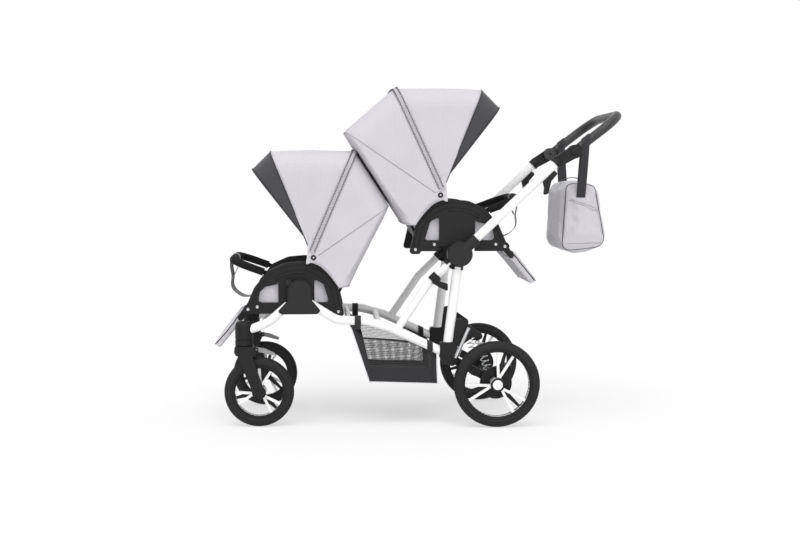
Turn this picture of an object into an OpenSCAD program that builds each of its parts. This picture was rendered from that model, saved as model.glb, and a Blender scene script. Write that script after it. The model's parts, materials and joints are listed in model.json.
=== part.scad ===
// Tandem twin pram: two seat units one behind the other on a folding tube chassis.
// X runs towards the parent, Y across, Z up. Places along X are first measured from the rear axle.

/* [Wheels] */
// Outer diameter of a rear tyre
rear_wheel_d = 300; // [285:1:315]
// Outer diameter of a front tyre
front_wheel_d = 242; // [230:1:252]
// Width of a rear tyre
rear_tyre_w = 44; // [38:1:48]
// Width of a front tyre
front_tyre_w = 40; // [34:1:44]
// Radial height of a tyre section
tyre_h = 27; // [22:1:32]
// Distance between the rear and front axles
wheelbase = 823; // [800:1:850]
// Distance between the middles of the rear wheels
rear_track = 544; // [540:1:570]
// Distance between the middles of the front wheels
front_track = 424; // [416:1:436]
// Distance of a front axle behind its swivel axis
front_trail = 51; // [44:1:58]
// Diameter of the rear axle's ends and the front axle bolts
axle_d = 12; // [10:0.5:14]
// Number of forked spokes in a wheel
spoke_count = 3; // [3:1:5]

/* [Chassis] */
// Diameter of the chassis tubes and push arms
tube_d = 31; // [28:0.5:33]
// Distance between the middles of the side tubes
frame_w = 436; // [430:1:442]
// Bend radius of the chassis tubes
bend_r = 70; // [50:1:90]
// Diameter of a rear leg
leg_d = 34; // [30:0.5:36]
// Diameter of a brace tube
brace_d = 28; // [24:0.5:30]
// Diameter of the tubes that cross the chassis
cross_d = 22; // [18:0.5:25]
// Distance of the fold pivot ahead of the rear axle
fold_ahead = 127; // [120:1:134]
// Height of the fold pivot
fold_h = 600; // [585:1:615]
// Radius of the fold joint's housings
fold_r = 43; // [40:0.5:46]
// Distance of the front seat hub ahead of the rear axle
front_hub_ahead = 681; // [672:1:690]
// Height of the front seat hub
front_hub_h = 471; // [464:1:478]
// Radius of the front seat hub's dome
front_hub_r = 42; // [38:0.5:46]
// Radius of a front wheel's swivel housing
swivel_r = 31; // [28:0.5:34]
// Height of a front wheel's swivel housing
swivel_h = 84; // [76:1:92]

/* [Suspension and brake] */
// Distance of the swing arm pivot ahead of the rear axle
swing_ahead = 152; // [146:1:158]
// Height of the swing arm pivot
swing_h = 232; // [226:1:238]
// Diameter of the rear axle beam
beam_d = 22; // [18:0.5:26]
// Outer diameter of a shock spring
spring_d = 30; // [26:0.5:34]
// Diameter of the spring wire
spring_wire_d = 3.6; // [3:0.1:4.2]
// Number of turns in a shock spring
spring_turns = 7; // [5:1:9]
// Width of the brake pedal
pedal_w = 96; // [80:1:120]

/* [Push handle] */
// Distance between the middles of the push arms
arm_w = 480; // [474:1:490]
// Distance from the fold pivot to the end of a push arm
arm_len = 468; // [450:1:490]
// Slope of the push arms
arm_angle = 43.3; // [41:0.1:46]
// Distance from the end of a push arm to the tilt pivot
bracket_len = 64; // [56:1:72]
// Slope of the line from the end of a push arm to the tilt pivot
bracket_angle = 30; // [25:1:38]
// Radius of the tilt joint's discs
tilt_r = 24; // [22:0.5:26]
// Distance from the tilt pivot to the middle of the cross grip
handle_reach = 212; // [195:1:230]
// Slope of the handle
handle_angle = 37.5; // [30:0.5:45]
// Diameter of the grip
grip_d = 32; // [29:0.5:35]
// Bend radius of the handle's corners
handle_bend_r = 95; // [80:1:115]

/* [Seat units] */
// Width over the seat's side frames
seat_w = 392; // [380:1:396]
// Thickness of a seat's side frame
side_t = 24; // [20:0.5:28]
// Width of the seat pad, the backrest and the calf rest
pad_w = 316; // [290:1:330]
// Thickness of the seat pad
pad_t = 42; // [34:1:48]
// Length of the backrest
back_len = 320; // [290:1:330]
// Thickness of the calf rest
calf_t = 30; // [24:1:34]
// Length of the calf rest
calf_len = 178; // [160:1:195]
// Diameter of the bumper bar's foam
bumper_d = 27; // [24:0.5:28]
// Reach of the bumper bar from its sockets
bumper_reach = 130; // [115:1:145]
// Width of the webbing straps
web_w = 32; // [25:1:38]

/* [Hoods] */
// Width over a hood's fabric
hood_w = 424; // [420:1:428]
// Distance of the front bow's crown from the hood hinge
front_bow_r = 397; // [380:1:405]
// Slope of the front bow
front_bow_angle = 67.8; // [64:0.1:70]
// Distance of the rear unit's middle bow from the hood hinge
mid_bow_r = 403; // [385:1:408]
// Slope of the middle bow
mid_bow_angle = 113; // [111:0.1:116]
// Radius of the hood's shoulders
shoulder_r = 72; // [55:1:90]
// Thickness of the hood, bag and basket fabric
cloth_t = 4; // [3:0.5:5]
// Diameter of the hood bows
bow_d = 9; // [8:0.25:10]

/* [Bag and basket] */
// Length of the bag between its end faces
bag_w = 330; // [290:1:350]
// Height of the bag
bag_h = 262; // [240:1:280]
// Depth of the bag at its bottom
bag_deep = 172; // [150:1:190]
// Depth of the bag at its top
bag_top = 112; // [90:1:130]
// Depth of the basket below the side tubes
basket_deep = 118; // [100:1:125]

/* [Fits] */
// Radial running clearance of pins and shafts
run_fit = 0.05; // [0.02:0.01:0.08]
// Gap between pieces that move past each other
slide_gap = 0.5; // [0.4:0.1:0.8]

/* [Hidden] */
$fn = 48;

// Sides: left is -Y, the side nearest the camera
LEFT = -1;
RIGHT = 1;

// Bends of the tubes
bend_swell = 0.3;
bend_lap = 3;

// Places in the side plane, [x, z] from the rear axle and the floor
frame_y = frame_w / 2;
arm_y = arm_w / 2;
rear_axle_at = [0, rear_wheel_d / 2];
front_axle_at = [-wheelbase, front_wheel_d / 2];
swivel_x = -wheelbase - front_trail;
swivel_y = front_track / 2;
crown_gap = 8;
crown_t = 32;
crown_z = front_wheel_d + crown_gap;
swivel_z = crown_z + crown_t;
fold_at = [-fold_ahead, fold_h];
front_hub_at = [-front_hub_ahead, front_hub_h];
swing_at = [-swing_ahead, swing_h];
leg_foot_at = [swing_at.x - 15, swing_h + 46];
arm_dir = [cos(arm_angle), sin(arm_angle)];
arm_end = fold_at + arm_dir * arm_len;
tilt_at = arm_end + bracket_len * [cos(bracket_angle), sin(bracket_angle)];
handle_dir = [cos(handle_angle), sin(handle_angle)];
handle_end = tilt_at + handle_dir * handle_reach;

// Seat units: u runs the way the child faces, v up, both from the hood hinge
front_seat_at = front_hub_at + [48, 116];
rear_seat_at = fold_at + [-65, 203];
calf_hinge = [228, -180];
calf_angle = -50;
calf_tip_u = calf_hinge.x + cos(calf_angle) * calf_len + 0.107 * calf_t;

// Middle of the footprint, which becomes X = 0
front_end_x = front_seat_at.x - calf_tip_u;
rear_end_x = handle_end.x + grip_d / 2 + bend_swell;
mid_x = (front_end_x + rear_end_x) / 2;

// Side tubes: a front piece and a rear piece, both held by the front seat hub
tube_seat_depth = 14;
front_tube_route = [
    [swivel_x + tube_seat_depth, swivel_z + 56],
    [swivel_x + 46, swivel_z + 66],
    front_hub_at + [-104, -104],
    front_hub_at + [-40, -48]
];
rear_tube_route = [
    front_hub_at + [34, -42],
    front_hub_at + [128, -101],
    front_hub_at + [226, -104],
    [leg_foot_at.x - 206, leg_foot_at.y + 66],
    [leg_foot_at.x - 22, leg_foot_at.y - 19]
];
brace_foot = rear_tube_route[3] + [26, -12];
brace_route = [
    brace_foot,
    brace_foot + [107, 156],
    fold_at + unit(brace_foot + [107, 156] - fold_at) * (fold_r + 3)
];
leg_route = [fold_at + unit(leg_foot_at - fold_at) * (fold_r + 3), leg_foot_at];
cross_places = [
    lerp(front_tube_route[1], front_tube_route[2], 0.5),
    lerp(rear_tube_route[1], rear_tube_route[2], 0.4),
    lerp(rear_tube_route[2], rear_tube_route[3], 0.6)
];

// Layers across the chassis, distances from the middle plane
hub_in = frame_y - 15;
hub_out = arm_y - tube_d / 2 + 7;
cover_out = arm_y + tube_d / 2 + 1.5;
block_half = leg_d / 2 + 1;
seat_out = seat_w / 2;
seat_in = seat_out - side_t;
peg_y = (seat_in + seat_out) / 2;
wheel_hub_half = front_tyre_w / 2 + 4;
hub_inner_y = rear_track / 2 - wheel_hub_half;
swing_inset = 30;
susp_y = hub_inner_y - swing_inset;
bracket_y0 = susp_y - 8;
bracket_y1 = susp_y + 8;

// Seat pegs and their sockets, in a seat unit's own frame
peg_t = 12;
peg_foot_v = [-194, -179.5];
front_peg = [48, 30, 50, 45];
rear_peg = [65, 44, 86, 0];
adapter_u = [-2, 123];
adapter_v = [-178, -61];

// Swing arms of the rear axle
swing_w = 18;
swing_r = 17;

// Shock springs stand between a cup on the swing arm and a cup on the rear bracket
swing_dir = unit(rear_axle_at - swing_at);
swing_up = [-swing_dir.y, swing_dir.x];
spring_foot = swing_at + swing_dir * (norm(rear_axle_at - swing_at) - 36) + swing_up * 19;
spring_head = swing_at + [90, 74];
spring_dir = unit(spring_head - spring_foot);
spring_cup_t = 5;
strut_route = [swing_at + [58, 111], swing_at + [12, 5]];
strut_d = 13;
ferrule_d = 17;
strut_y = susp_y + swing_w / 2 + slide_gap + ferrule_d / 2 + 0.5;

// Stem of a front fork
stem_d = 20;
stem_h = 52;

// Geometry helpers
function unit(v) = v / norm(v);
function lerp(a, b, t) = a + (b - a) * t;
function polar(r, a) = [r * cos(a), r * sin(a)];
function turn(a, b) = atan2(a.x * b.y - a.y * b.x, a * b);
function signed_pow(x, e) = sign(x) * pow(abs(x), e);

// Arc that rounds corner b between points a and c
function corner(a, b, c, r, steps) =
    let(
        d1 = unit(a - b),
        d2 = unit(c - b),
        half = acos(d1 * d2) / 2,
        middle = b + unit(d1 + d2) * r / sin(half),
        p1 = b + d1 * r / tan(half),
        p2 = b + d2 * r / tan(half),
        from = atan2(p1.y - middle.y, p1.x - middle.x),
        sweep = turn(p1 - middle, p2 - middle)
    )
    [for (i = [0 : steps]) middle + polar(r, from + sweep * i / steps)];

// Outline through corner points, each corner rounded to radius r
function rounded(p, r, steps = 5) =
    let(n = len(p))
    [for (i = [0 : n - 1])
        each corner(p[(i + n - 1) % n], p[i], p[(i + 1) % n], is_list(r) ? r[i] : r, steps)];

// Tapered bar outline from p to q
function bar(p, q, w1, w2) =
    let(d = unit(q - p), s = [-d.y, d.x])
    [p - s * w1 / 2, q - s * w2 / 2, q + s * w2 / 2, p + s * w1 / 2];

// Distance from a bend's corner to where its arc starts
function bend_cut(p, i, r) =
    (i == 0 || i == len(p) - 1) ? 0 : r * tan(abs(turn(p[i] - p[i - 1], p[i + 1] - p[i])) / 2);

module placed() {
    translate([-mid_x, 0, 0])
        children();
}

module on_side(side) {
    if (side == LEFT)
        mirror([0, 1, 0])
            children();
    else
        children();
}

module both_sides() {
    children();
    mirror([0, 1, 0])
        children();
}

// Outline in the side plane, extruded from y0 to y1
module prism(points, y0, y1) {
    translate([0, y1, 0])
        rotate([90, 0, 0])
            linear_extrude(y1 - y0)
                polygon(points);
}

// Round bar across the part at [x, z]
module rod(at, d, y0, y1) {
    translate([at.x, y1, at.y])
        rotate([90, 0, 0])
            cylinder(d = d, h = y1 - y0);
}

// Round tube in a plane, with a bend of radius r at each inner point; the bends swell a little as
// bent tube does, and the straight lengths run a short way into them
module flat_tube(p, r, d) {
    last = len(p) - 1;
    for (i = [0 : last - 1]) {
        dir = unit(p[i + 1] - p[i]);
        a = p[i] + dir * (bend_cut(p, i, r) - (i > 0 ? bend_lap : 0));
        b = p[i + 1] - dir * (bend_cut(p, i + 1, r) - (i < last - 1 ? bend_lap : 0));
        translate([a.x, a.y, 0])
            rotate([0, 90, atan2(dir.y, dir.x)])
                cylinder(d = d, h = norm(b - a));
    }
    if (last > 1)
        for (i = [1 : last - 1]) {
            d1 = unit(p[i] - p[i - 1]);
            bend = turn(d1, p[i + 1] - p[i]);
            a = p[i] - d1 * bend_cut(p, i, r);
            middle = a + sign(bend) * r * [-d1.y, d1.x];
            from = atan2(a.y - middle.y, a.x - middle.x);
            translate([middle.x, middle.y, 0])
                rotate([0, 0, bend > 0 ? from : from + bend])
                    rotate_extrude(angle = abs(bend))
                        translate([r, 0])
                            circle(d = d + 2 * bend_swell);
        }
}

// Tube through [x, z] points in the side plane at distance y
module side_tube(p, r, d, y) {
    translate([0, y, 0])
        rotate([90, 0, 0])
            flat_tube(p, r, d);
}

// Revolved outline of [radius, height] points, standing on [x, z] along dir in the side plane
module turned(at, dir, y, outline) {
    translate([at.x, y, at.y])
        rotate([0, 90 - atan2(dir.y, dir.x), 0])
            rotate_extrude()
                polygon(outline);
}

// Closed rings of points joined into one solid; each ring runs round the way the rings follow each other
module loft(rings, shell = false) {
    n = len(rings);
    m = len(rings[0]);
    last = (n - 1) * m;
    half = m / 2;
    sides = [for (i = [0 : n - 2], j = [0 : m - 1])
        each let(a = i * m + j, b = i * m + (j + 1) % m) [[a, b + m, b], [a, a + m, b + m]]];
    strip = [for (j = [0 : half - 2])
        each [[j, j + 1, m - 2 - j], [j, m - 2 - j, m - 1 - j]]];
    fan = [for (j = [1 : m - 2]) [0, j, j + 1]];
    cap = shell ? strip : fan;
    far_cap = [for (f = cap) [last + f[0], last + f[2], last + f[1]]];
    polyhedron([for (r = rings) each r], concat(sides, cap, far_cap), convexity = 6);
}

// Chassis

module lower_tubes(extra = 0) {
    color("white")
        placed()
            both_sides() {
                side_tube(front_tube_route, bend_r, tube_d + extra, frame_y);
                side_tube(rear_tube_route, bend_r, tube_d + extra, frame_y);
            }
}

module brace_tube(extra = 0) {
    side_tube(brace_route, bend_r, brace_d + extra, frame_y);
}

module brace_tubes() {
    color("white")
        placed()
            both_sides()
                difference() {
                    brace_tube();
                    side_tube(rear_tube_route, bend_r, tube_d + 2 * run_fit, frame_y);
                }
}

module rear_leg(extra = 0) {
    side_tube(leg_route, bend_r, leg_d + extra, frame_y);
}

module rear_legs() {
    color("white")
        placed()
            both_sides()
                rear_leg();
}

module cross_tubes() {
    color("white")
        difference() {
            placed()
                for (at = cross_places)
                    rod(at, cross_d, -frame_y, frame_y);
            lower_tubes(2 * run_fit);
        }
}

// Foot and tongue that a seat unit drops onto, in the unit's frame
module seat_peg(peg) {
    u = peg[0];
    prism([
        [u - 22, peg_foot_v[0]], [u + 22, peg_foot_v[0]],
        [u + 22, peg_foot_v[1]], [u - 22, peg_foot_v[1]]
    ], peg_y - peg_t / 2, hub_in + 1);
    seat_tongue(peg, peg[2], 0);
}

module seat_tongue(peg, length, gap) {
    foot = gap > 0 ? -100 : 0;
    translate([peg[0], peg_y, peg_foot_v[1] - 6])
        rotate([0, peg[3], 0])
            translate([-peg[1] / 2 - gap, -peg_t / 2 - gap, foot])
                cube([peg[1] + 2 * gap, peg_t + 2 * gap, length + gap - foot]);
}

module in_seat(front) {
    at = front ? front_seat_at : rear_seat_at;
    translate([at.x, 0, at.y])
        if (front)
            mirror([1, 0, 0])
                children();
        else
            children();
}

module fold_hubs() {
    collar = unit(leg_route[1] - leg_route[0]);
    socket = unit(brace_route[1] - brace_route[2]);
    color("dimgray")
        placed()
            both_sides() {
                difference() {
                    union() {
                        rod(fold_at, 2 * fold_r, hub_in, hub_out);
                        side_tube([fold_at + collar * 20, fold_at + collar * 56], 1, leg_d + 7, frame_y);
                        side_tube([fold_at + socket * 20, fold_at + socket * 58], 1, brace_d + 8, frame_y);
                    }
                    rear_leg(2 * run_fit);
                    brace_tube(2 * run_fit);
                    rod(fold_at, 4 * fold_r, hub_out, cover_out + 20);
                }
                rod(fold_at, axle_d, hub_out - 8, cover_out - 6);
                in_seat(false)
                    seat_peg(rear_peg);
            }
}

// Bell that joins the side tubes and carries the front seat's tongue
function bell_outline(shrink) =
    let(r = front_hub_r - shrink)
    concat(
        [for (a = [-15 : 15 : 195]) front_hub_at + polar(r, a)],
        rounded([
            front_hub_at + [-r - 4, -36],
            front_hub_at + [-76 + shrink, -68],
            front_hub_at + [-62 + shrink, -78 + shrink],
            front_hub_at + [60 - shrink, -78 + shrink],
            front_hub_at + [72 - shrink, -66],
            front_hub_at + [r + 4, -34]
        ], 5, 2)
    );

module front_seat_hubs() {
    color("dimgray")
        placed()
            both_sides() {
                difference() {
                    union() {
                        prism(bell_outline(0), hub_in, frame_y + 20);
                        prism(bell_outline(3.5), frame_y + 19, frame_y + 24);
                        rod(front_hub_at + polar(front_hub_r + 6, 140), 22, hub_in + 6, frame_y + 12);
                    }
                    side_tube(front_tube_route, bend_r, tube_d + 2 * run_fit, frame_y);
                    side_tube(rear_tube_route, bend_r, tube_d + 2 * run_fit, frame_y);
                }
                in_seat(true)
                    seat_peg(front_peg);
            }
}

module swivel_housings() {
    bore = stem_d / 2 + run_fit;
    groove = 1.5;
    color("black")
        placed()
            both_sides()
                difference() {
                    turned([swivel_x, swivel_z + slide_gap], [0, 1], swivel_y, [
                        [bore, 0], [swivel_r - 2, 0], [swivel_r, 2], [swivel_r, 20],
                        [swivel_r - groove, 21], [swivel_r - groove, 24], [swivel_r, 25],
                        [swivel_r, swivel_h - 14], [swivel_r - 3, swivel_h - 4],
                        [swivel_r - 9, swivel_h], [0, swivel_h], [0, stem_h + 2], [bore, stem_h + 2]
                    ]);
                    side_tube(front_tube_route, bend_r, tube_d + 2 * run_fit, frame_y);
                }
}

// Cup that holds one end of a shock spring
module spring_cup(at, dir) {
    lip = 2;
    turned(at, dir, susp_y, [
        [0, 0], [spring_d / 2 + 2, 0], [spring_d / 2 + 2, spring_cup_t],
        [spring_d / 2 - spring_wire_d - lip, spring_cup_t],
        [spring_d / 2 - spring_wire_d - lip, spring_cup_t + 4], [0, spring_cup_t + 4]
    ]);
}

module rear_brackets() {
    block = rounded([
        leg_foot_at + [-27, 14], leg_foot_at + [22, 14], swing_at + [20, 26],
        swing_at + [20, -14], swing_at + [2, -24], swing_at + [-34, -16], leg_foot_at + [-29, -38]
    ], 8);
    plate = rounded([
        swing_at + [-6, 40], swing_at + [14, 138], swing_at + [32, 143], swing_at + [62, 118],
        spring_head + [14, 14], spring_head + [18, 2], spring_head + [-18, 0], swing_at + [30, 44]
    ], [3, 6, 12, 14, 4, 3, 3, 14]);
    color("black")
        placed()
            both_sides() {
                difference() {
                    union() {
                        prism(block, min(frame_y, susp_y) - block_half, max(frame_y, susp_y) + block_half);
                        prism(plate, bracket_y0, bracket_y1);
                        rod(strut_route[0] + [3, -6], 22, bracket_y1 - 1, strut_y);
                        spring_cup(spring_head, -spring_dir);
                    }
                    rear_leg(2 * run_fit);
                    side_tube(rear_tube_route, bend_r, tube_d + 2 * run_fit, frame_y);
                    shock_strut(2 * run_fit);
                    prism(bar(swing_at, swing_at + swing_dir * 90, 2 * swing_r + 4, 2 * swing_r + 4),
                        susp_y - swing_w / 2 - slide_gap, susp_y + swing_w / 2 + slide_gap);
                    rod(swing_at, 2 * swing_r + 4,
                        susp_y - swing_w / 2 - slide_gap, susp_y + swing_w / 2 + slide_gap);
                }
                rod(swing_at, axle_d, susp_y - block_half + 2, susp_y + block_half - 2);
            }
}

module shock_strut(extra = 0) {
    ferrule = unit(strut_route[1] - strut_route[0]);
    side_tube(strut_route, 1, strut_d + extra, strut_y);
    side_tube([strut_route[1] - ferrule * 34, strut_route[1] - ferrule * 6], 1, ferrule_d + extra, strut_y);
}

module shock_struts() {
    color("gainsboro")
        placed()
            both_sides()
                shock_strut();
}

// One unbroken helical wire on each side
spring_len = norm(spring_head - spring_foot) - 2 * spring_cup_t - spring_wire_d - 2 * slide_gap;
rings_per_turn = 8;
wire_sides = 6;
wire_r = spring_wire_d / 2;
coil_r = spring_d / 2 - wire_r;

function coil_at(a) = [coil_r * cos(a), coil_r * sin(a), spring_len * a / (360 * spring_turns)];

function wire_ring(a) =
    let(
        out = [cos(a), sin(a), 0],
        along = unit(coil_at(a + 1) - coil_at(a - 1)),
        up = cross(along, out)
    )
    [for (k = [0 : wire_sides - 1])
        coil_at(a) + wire_r * (cos(360 * k / wire_sides) * out + sin(360 * k / wire_sides) * up)];

coil_gap = min([for (a = [0 : 15 : 345]) norm(coil_at(a + 360) - coil_at(a)) - spring_wire_d]);
echo(least_gap_between_spring_turns = coil_gap);

module shock_springs() {
    base = spring_foot + spring_dir * (spring_cup_t + slide_gap + wire_r);
    color("silver")
        placed()
            both_sides()
                translate([base.x, susp_y, base.y])
                    rotate([0, 90 - atan2(spring_dir.y, spring_dir.x), 0])
                        loft([for (i = [0 : rings_per_turn * spring_turns])
                            wire_ring(360 * i / rings_per_turn)]);
}

// Clamp on the left brace with the transport lock's pin, and the hook that swings on it
lock_at = lerp(brace_route[1], brace_route[2], 0.34);
lock_y = frame_y + brace_d / 2 + 4;

module lock_collar() {
    dir = unit(brace_route[2] - brace_route[1]);
    color("black")
        placed()
            on_side(LEFT) {
                difference() {
                    union() {
                        side_tube([lock_at - dir * 14, lock_at + dir * 14], 1, brace_d + 8, frame_y);
                        rod(lock_at, 18, frame_y, lock_y);
                    }
                    brace_tube(2 * run_fit);
                }
                difference() {
                    rod(lock_at, 8, lock_y - 1, lock_y + 10);
                    brace_tube(2 * run_fit);
                }
            }
}

module transport_lock() {
    hook = rounded([
        lock_at + [-14, 4], lock_at + [2, 16], lock_at + [15, 8], lock_at + [17, -10],
        lock_at + [44, -18], lock_at + [44, -44], lock_at + [20, -34], lock_at + [-10, -16]
    ], 4);
    color("black")
        placed()
            on_side(LEFT)
                difference() {
                    prism(hook, lock_y + slide_gap, lock_y + 9);
                    rod(lock_at, 8 + 2 * run_fit, lock_y, lock_y + 12);
                }
}

// Wheels

hub_r = 24;
rim_depth = 11;
spoke_phase = 75;
spoke_spread = 15;
fin_t = 9;

function bead_r(d) = d / 2 - tyre_h;

// Tyre section: a crowned tread, bulged walls and a flat bead seat
function tyre_outline(d, w) =
    let(bead = bead_r(d), wall = 4)
    concat(
        [for (a = [-90 : 15 : 90])
            [bead + wall + (tyre_h - wall) * pow(cos(a), 0.6), w / 2 * signed_pow(sin(a), 0.7)]],
        [[bead, 0.4 * w], [bead, -0.4 * w]]
    );

// Outline of [radius, distance across] points turned about a wheel's axis
module spun(at, y, outline) {
    translate([at.x, y, at.y])
        rotate([-90, 0, 0])
            rotate_extrude($fn = 72)
                polygon(outline);
}

module tyre(at, y, d, w) {
    color("black")
        spun(at, y, tyre_outline(d, w));
}

module wheel_rim(at, y, d, w, capped) {
    seat = bead_r(d) - run_fit;
    inner = seat - rim_depth;
    lip = 0.4 * w;
    pitch = 360 / spoke_count;
    color("black")
        difference() {
            union() {
                spun(at, y, [
                    [inner, -lip + 4], [inner + 5, -lip - 2], [seat, -lip - 2], [seat, lip + 2],
                    [inner + 5, lip + 2], [inner, lip - 4]
                ]);
                rod(at, 2 * hub_r, y - wheel_hub_half, y + wheel_hub_half);
                for (i = [0 : spoke_count - 1])
                    prism(bar(at, at + polar(inner + 3, spoke_phase + i * pitch), 20, 9), y - 8, y);
            }
            rod(at, axle_d + 2 * run_fit, y - wheel_hub_half - 1, y + wheel_hub_half + 1);
        }
    color("white")
        for (i = [0 : spoke_count - 1])
            difference() {
                intersection() {
                    union()
                        for (s = [-1, 1])
                            prism(bar(at + polar(hub_r - 6, spoke_phase + i * pitch),
                                at + polar(inner + 4, spoke_phase + i * pitch + s * spoke_spread), 9, 9),
                                y + 0.1, y + 0.1 + fin_t);
                    rod(at, 2 * (inner - run_fit), y - 20, y + 20);
                }
                rod(at, 2 * (hub_r + run_fit), y - 20, y + 20);
            }
    if (capped)
        color("white")
            spun(at, y + wheel_hub_half, [[0, 0.1], [17, 0.1], [17, 2.5], [15, 4], [0, 4.5]]);
}

module rear_rim(side) {
    placed()
        on_side(side)
            wheel_rim(rear_axle_at, rear_track / 2, rear_wheel_d, rear_tyre_w, true);
}

module rear_tyre(side) {
    placed()
        on_side(side)
            tyre(rear_axle_at, rear_track / 2, rear_wheel_d, rear_tyre_w);
}

module front_rim(side) {
    placed()
        on_side(side)
            wheel_rim(front_axle_at, swivel_y, front_wheel_d, front_tyre_w, false);
}

module front_tyre(side) {
    placed()
        on_side(side)
            tyre(front_axle_at, swivel_y, front_wheel_d, front_tyre_w);
}

// Front forks

fork_in = wheel_hub_half + slide_gap;
fork_t = 9;
fork_out = fork_in + fork_t;
lever_at = [swivel_x + 43, crown_z + 20];
lever_pin_d = 6;
ear_in = 10;

module fork(side) {
    crown = rounded([
        [swivel_x - 31, swivel_z], [swivel_x + 30, swivel_z], [swivel_x + 38, crown_z + 18],
        [swivel_x + 38, crown_z], [swivel_x - 26, crown_z], [swivel_x - 33, crown_z + 12]
    ], [4, 4, 6, 6, 6, 6]);
    blade = rounded([
        [swivel_x - 29, crown_z + 20], [swivel_x + 22, crown_z + 20], front_axle_at + [19, 6],
        front_axle_at + [14, -15], front_axle_at + [-9, -17], front_axle_at + [-20, -2]
    ], [4, 4, 14, 9, 9, 12]);
    color("black")
        placed()
            on_side(side)
                translate([0, swivel_y, 0]) {
                    difference() {
                        union() {
                            prism(crown, -fork_out, fork_out);
                            for (s = [-1, 1])
                                prism(bar([swivel_x + 24, crown_z + 16], lever_at + [5, 0], 18, 14),
                                    s > 0 ? ear_in : -ear_in - 6, s > 0 ? ear_in + 6 : -ear_in);
                        }
                        rod(lever_at, lever_pin_d + 2 * run_fit, -fork_out, fork_out);
                        prism(bar(lever_at - [16, 0], lever_at + [60, 0], 34, 34), -ear_in, ear_in);
                    }
                    for (s = [0, 1])
                        mirror([0, s, 0])
                            prism(blade, fork_in, fork_out);
                    rod(front_axle_at, axle_d, -fork_out, fork_out);
                    rod(front_axle_at, axle_d + 10, fork_out - 1, fork_out + 4);
                    rod(front_axle_at, axle_d + 10, -fork_out - 4, -fork_out + 1);
                    translate([swivel_x, 0, swivel_z - 2])
                        cylinder(d = stem_d, h = stem_h);
                }
}

module swivel_lock(side) {
    paddle = rounded([
        lever_at + [-7, -6], lever_at + [20, -12], lever_at + [58, -22],
        lever_at + [62, -14], lever_at + [26, 2], lever_at + [-4, 7]
    ], [5, 6, 3, 3, 8, 5]);
    color("gray")
        placed()
            on_side(side)
                translate([0, swivel_y, 0]) {
                    prism(paddle, -ear_in + slide_gap, ear_in - slide_gap);
                    rod(lever_at, lever_pin_d, -ear_in - 5, ear_in + 5);
                }
}

// Rear axle, swing arms and brake

// Brake drum with a stepped face, fixed round the end of the axle beam
module brake_drum(d, y_in, y_out) {
    step = 4;
    rod(rear_axle_at, d, y_in + step, y_out);
    rod(rear_axle_at, d - 6 * step, y_in, y_out);
}

module rear_axle() {
    drum_d = 112;
    drum_in = susp_y + spring_d / 2 + 4;
    drum_out = hub_inner_y - slide_gap;
    axle_out = rear_track / 2 + wheel_hub_half - 3;
    color("black")
        placed() {
            rod(rear_axle_at, beam_d, -drum_out, drum_out);
            rod(rear_axle_at, axle_d, -axle_out, axle_out);
            both_sides() {
                difference() {
                    union() {
                        prism(bar(swing_at, rear_axle_at, 26, 30),
                            susp_y - swing_w / 2, susp_y + swing_w / 2);
                        rod(swing_at, 2 * swing_r, susp_y - swing_w / 2, susp_y + swing_w / 2);
                        rod(rear_axle_at, 2 * swing_r + 4, susp_y - swing_w / 2, susp_y + swing_w / 2);
                    }
                    rod(swing_at, axle_d + 2 * run_fit, susp_y - swing_w, susp_y + swing_w);
                }
                brake_drum(drum_d, drum_in, drum_out);
                spring_cup(spring_foot, spring_dir);
                prism(bar(spring_foot + spring_dir, spring_foot - swing_up * 14, 30, 36),
                    susp_y - swing_w / 2, susp_y + swing_w / 2);
            }
        }
}

module brake_pedal() {
    sleeve = beam_d + 12;
    pedal_at = rear_axle_at + [66, 22];
    color("dimgray")
        placed()
            difference() {
                union() {
                    rod(rear_axle_at, sleeve, -22, 22);
                    prism(bar(rear_axle_at, pedal_at, 22, 10), -18, 18);
                    prism(rounded([
                        pedal_at + [-26, -12], pedal_at + [22, 2], pedal_at + [24, 9], pedal_at + [-24, -3]
                    ], 3), -pedal_w / 2, pedal_w / 2);
                }
                rod(rear_axle_at, beam_d + 2 * run_fit, -30, 30);
            }
}

// Push frame

cover_in = hub_out + slide_gap;
sleeve_len = 16;

module push_arm(extra = 0) {
    side_tube([fold_at + arm_dir * (fold_r + 6), arm_end], 1, tube_d + extra, arm_y);
}

module push_arms() {
    color("white")
        placed()
            both_sides()
                push_arm();
}

module fold_covers() {
    color("dimgray")
        placed()
            both_sides()
                difference() {
                    union() {
                        rod(fold_at, 2 * fold_r - 4, cover_in, cover_out + 2);
                        rod(fold_at, 2 * fold_r, cover_in, cover_out);
                        side_tube([fold_at + arm_dir * 14, fold_at + arm_dir * (fold_r + 36)], 1,
                            tube_d + 8, arm_y);
                    }
                    push_arm(2 * run_fit);
                    rod(fold_at, 2 * fold_r + 2, 0, cover_in);
                    rod(fold_at, axle_d + 2 * run_fit, 0, cover_out - 5);
                }
}

tilt_in = arm_y - 1.5;
tilt_out = arm_y + tube_d / 2 + 0.5;
tilt_pin_d = 10;
button_d = 28;
button_travel = 4;

module handle_brackets() {
    color("black")
        placed()
            both_sides() {
                difference() {
                    union() {
                        side_tube([arm_end - arm_dir * sleeve_len, arm_end + arm_dir * 5],
                            1, tube_d + 8, arm_y);
                        prism(bar(arm_end - arm_dir * 4, tilt_at, tube_d + 7, 2 * tilt_r - 4),
                            tilt_in, tilt_out);
                        rod(tilt_at, 2 * tilt_r, tilt_in, tilt_out);
                    }
                    push_arm(2 * run_fit);
                    rod(tilt_at, button_d + 2 * slide_gap, tilt_out - 10, tilt_out + 1);
                }
                rod(tilt_at, tilt_pin_d, tilt_in - 12, tilt_in + 2);
            }
}

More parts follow.
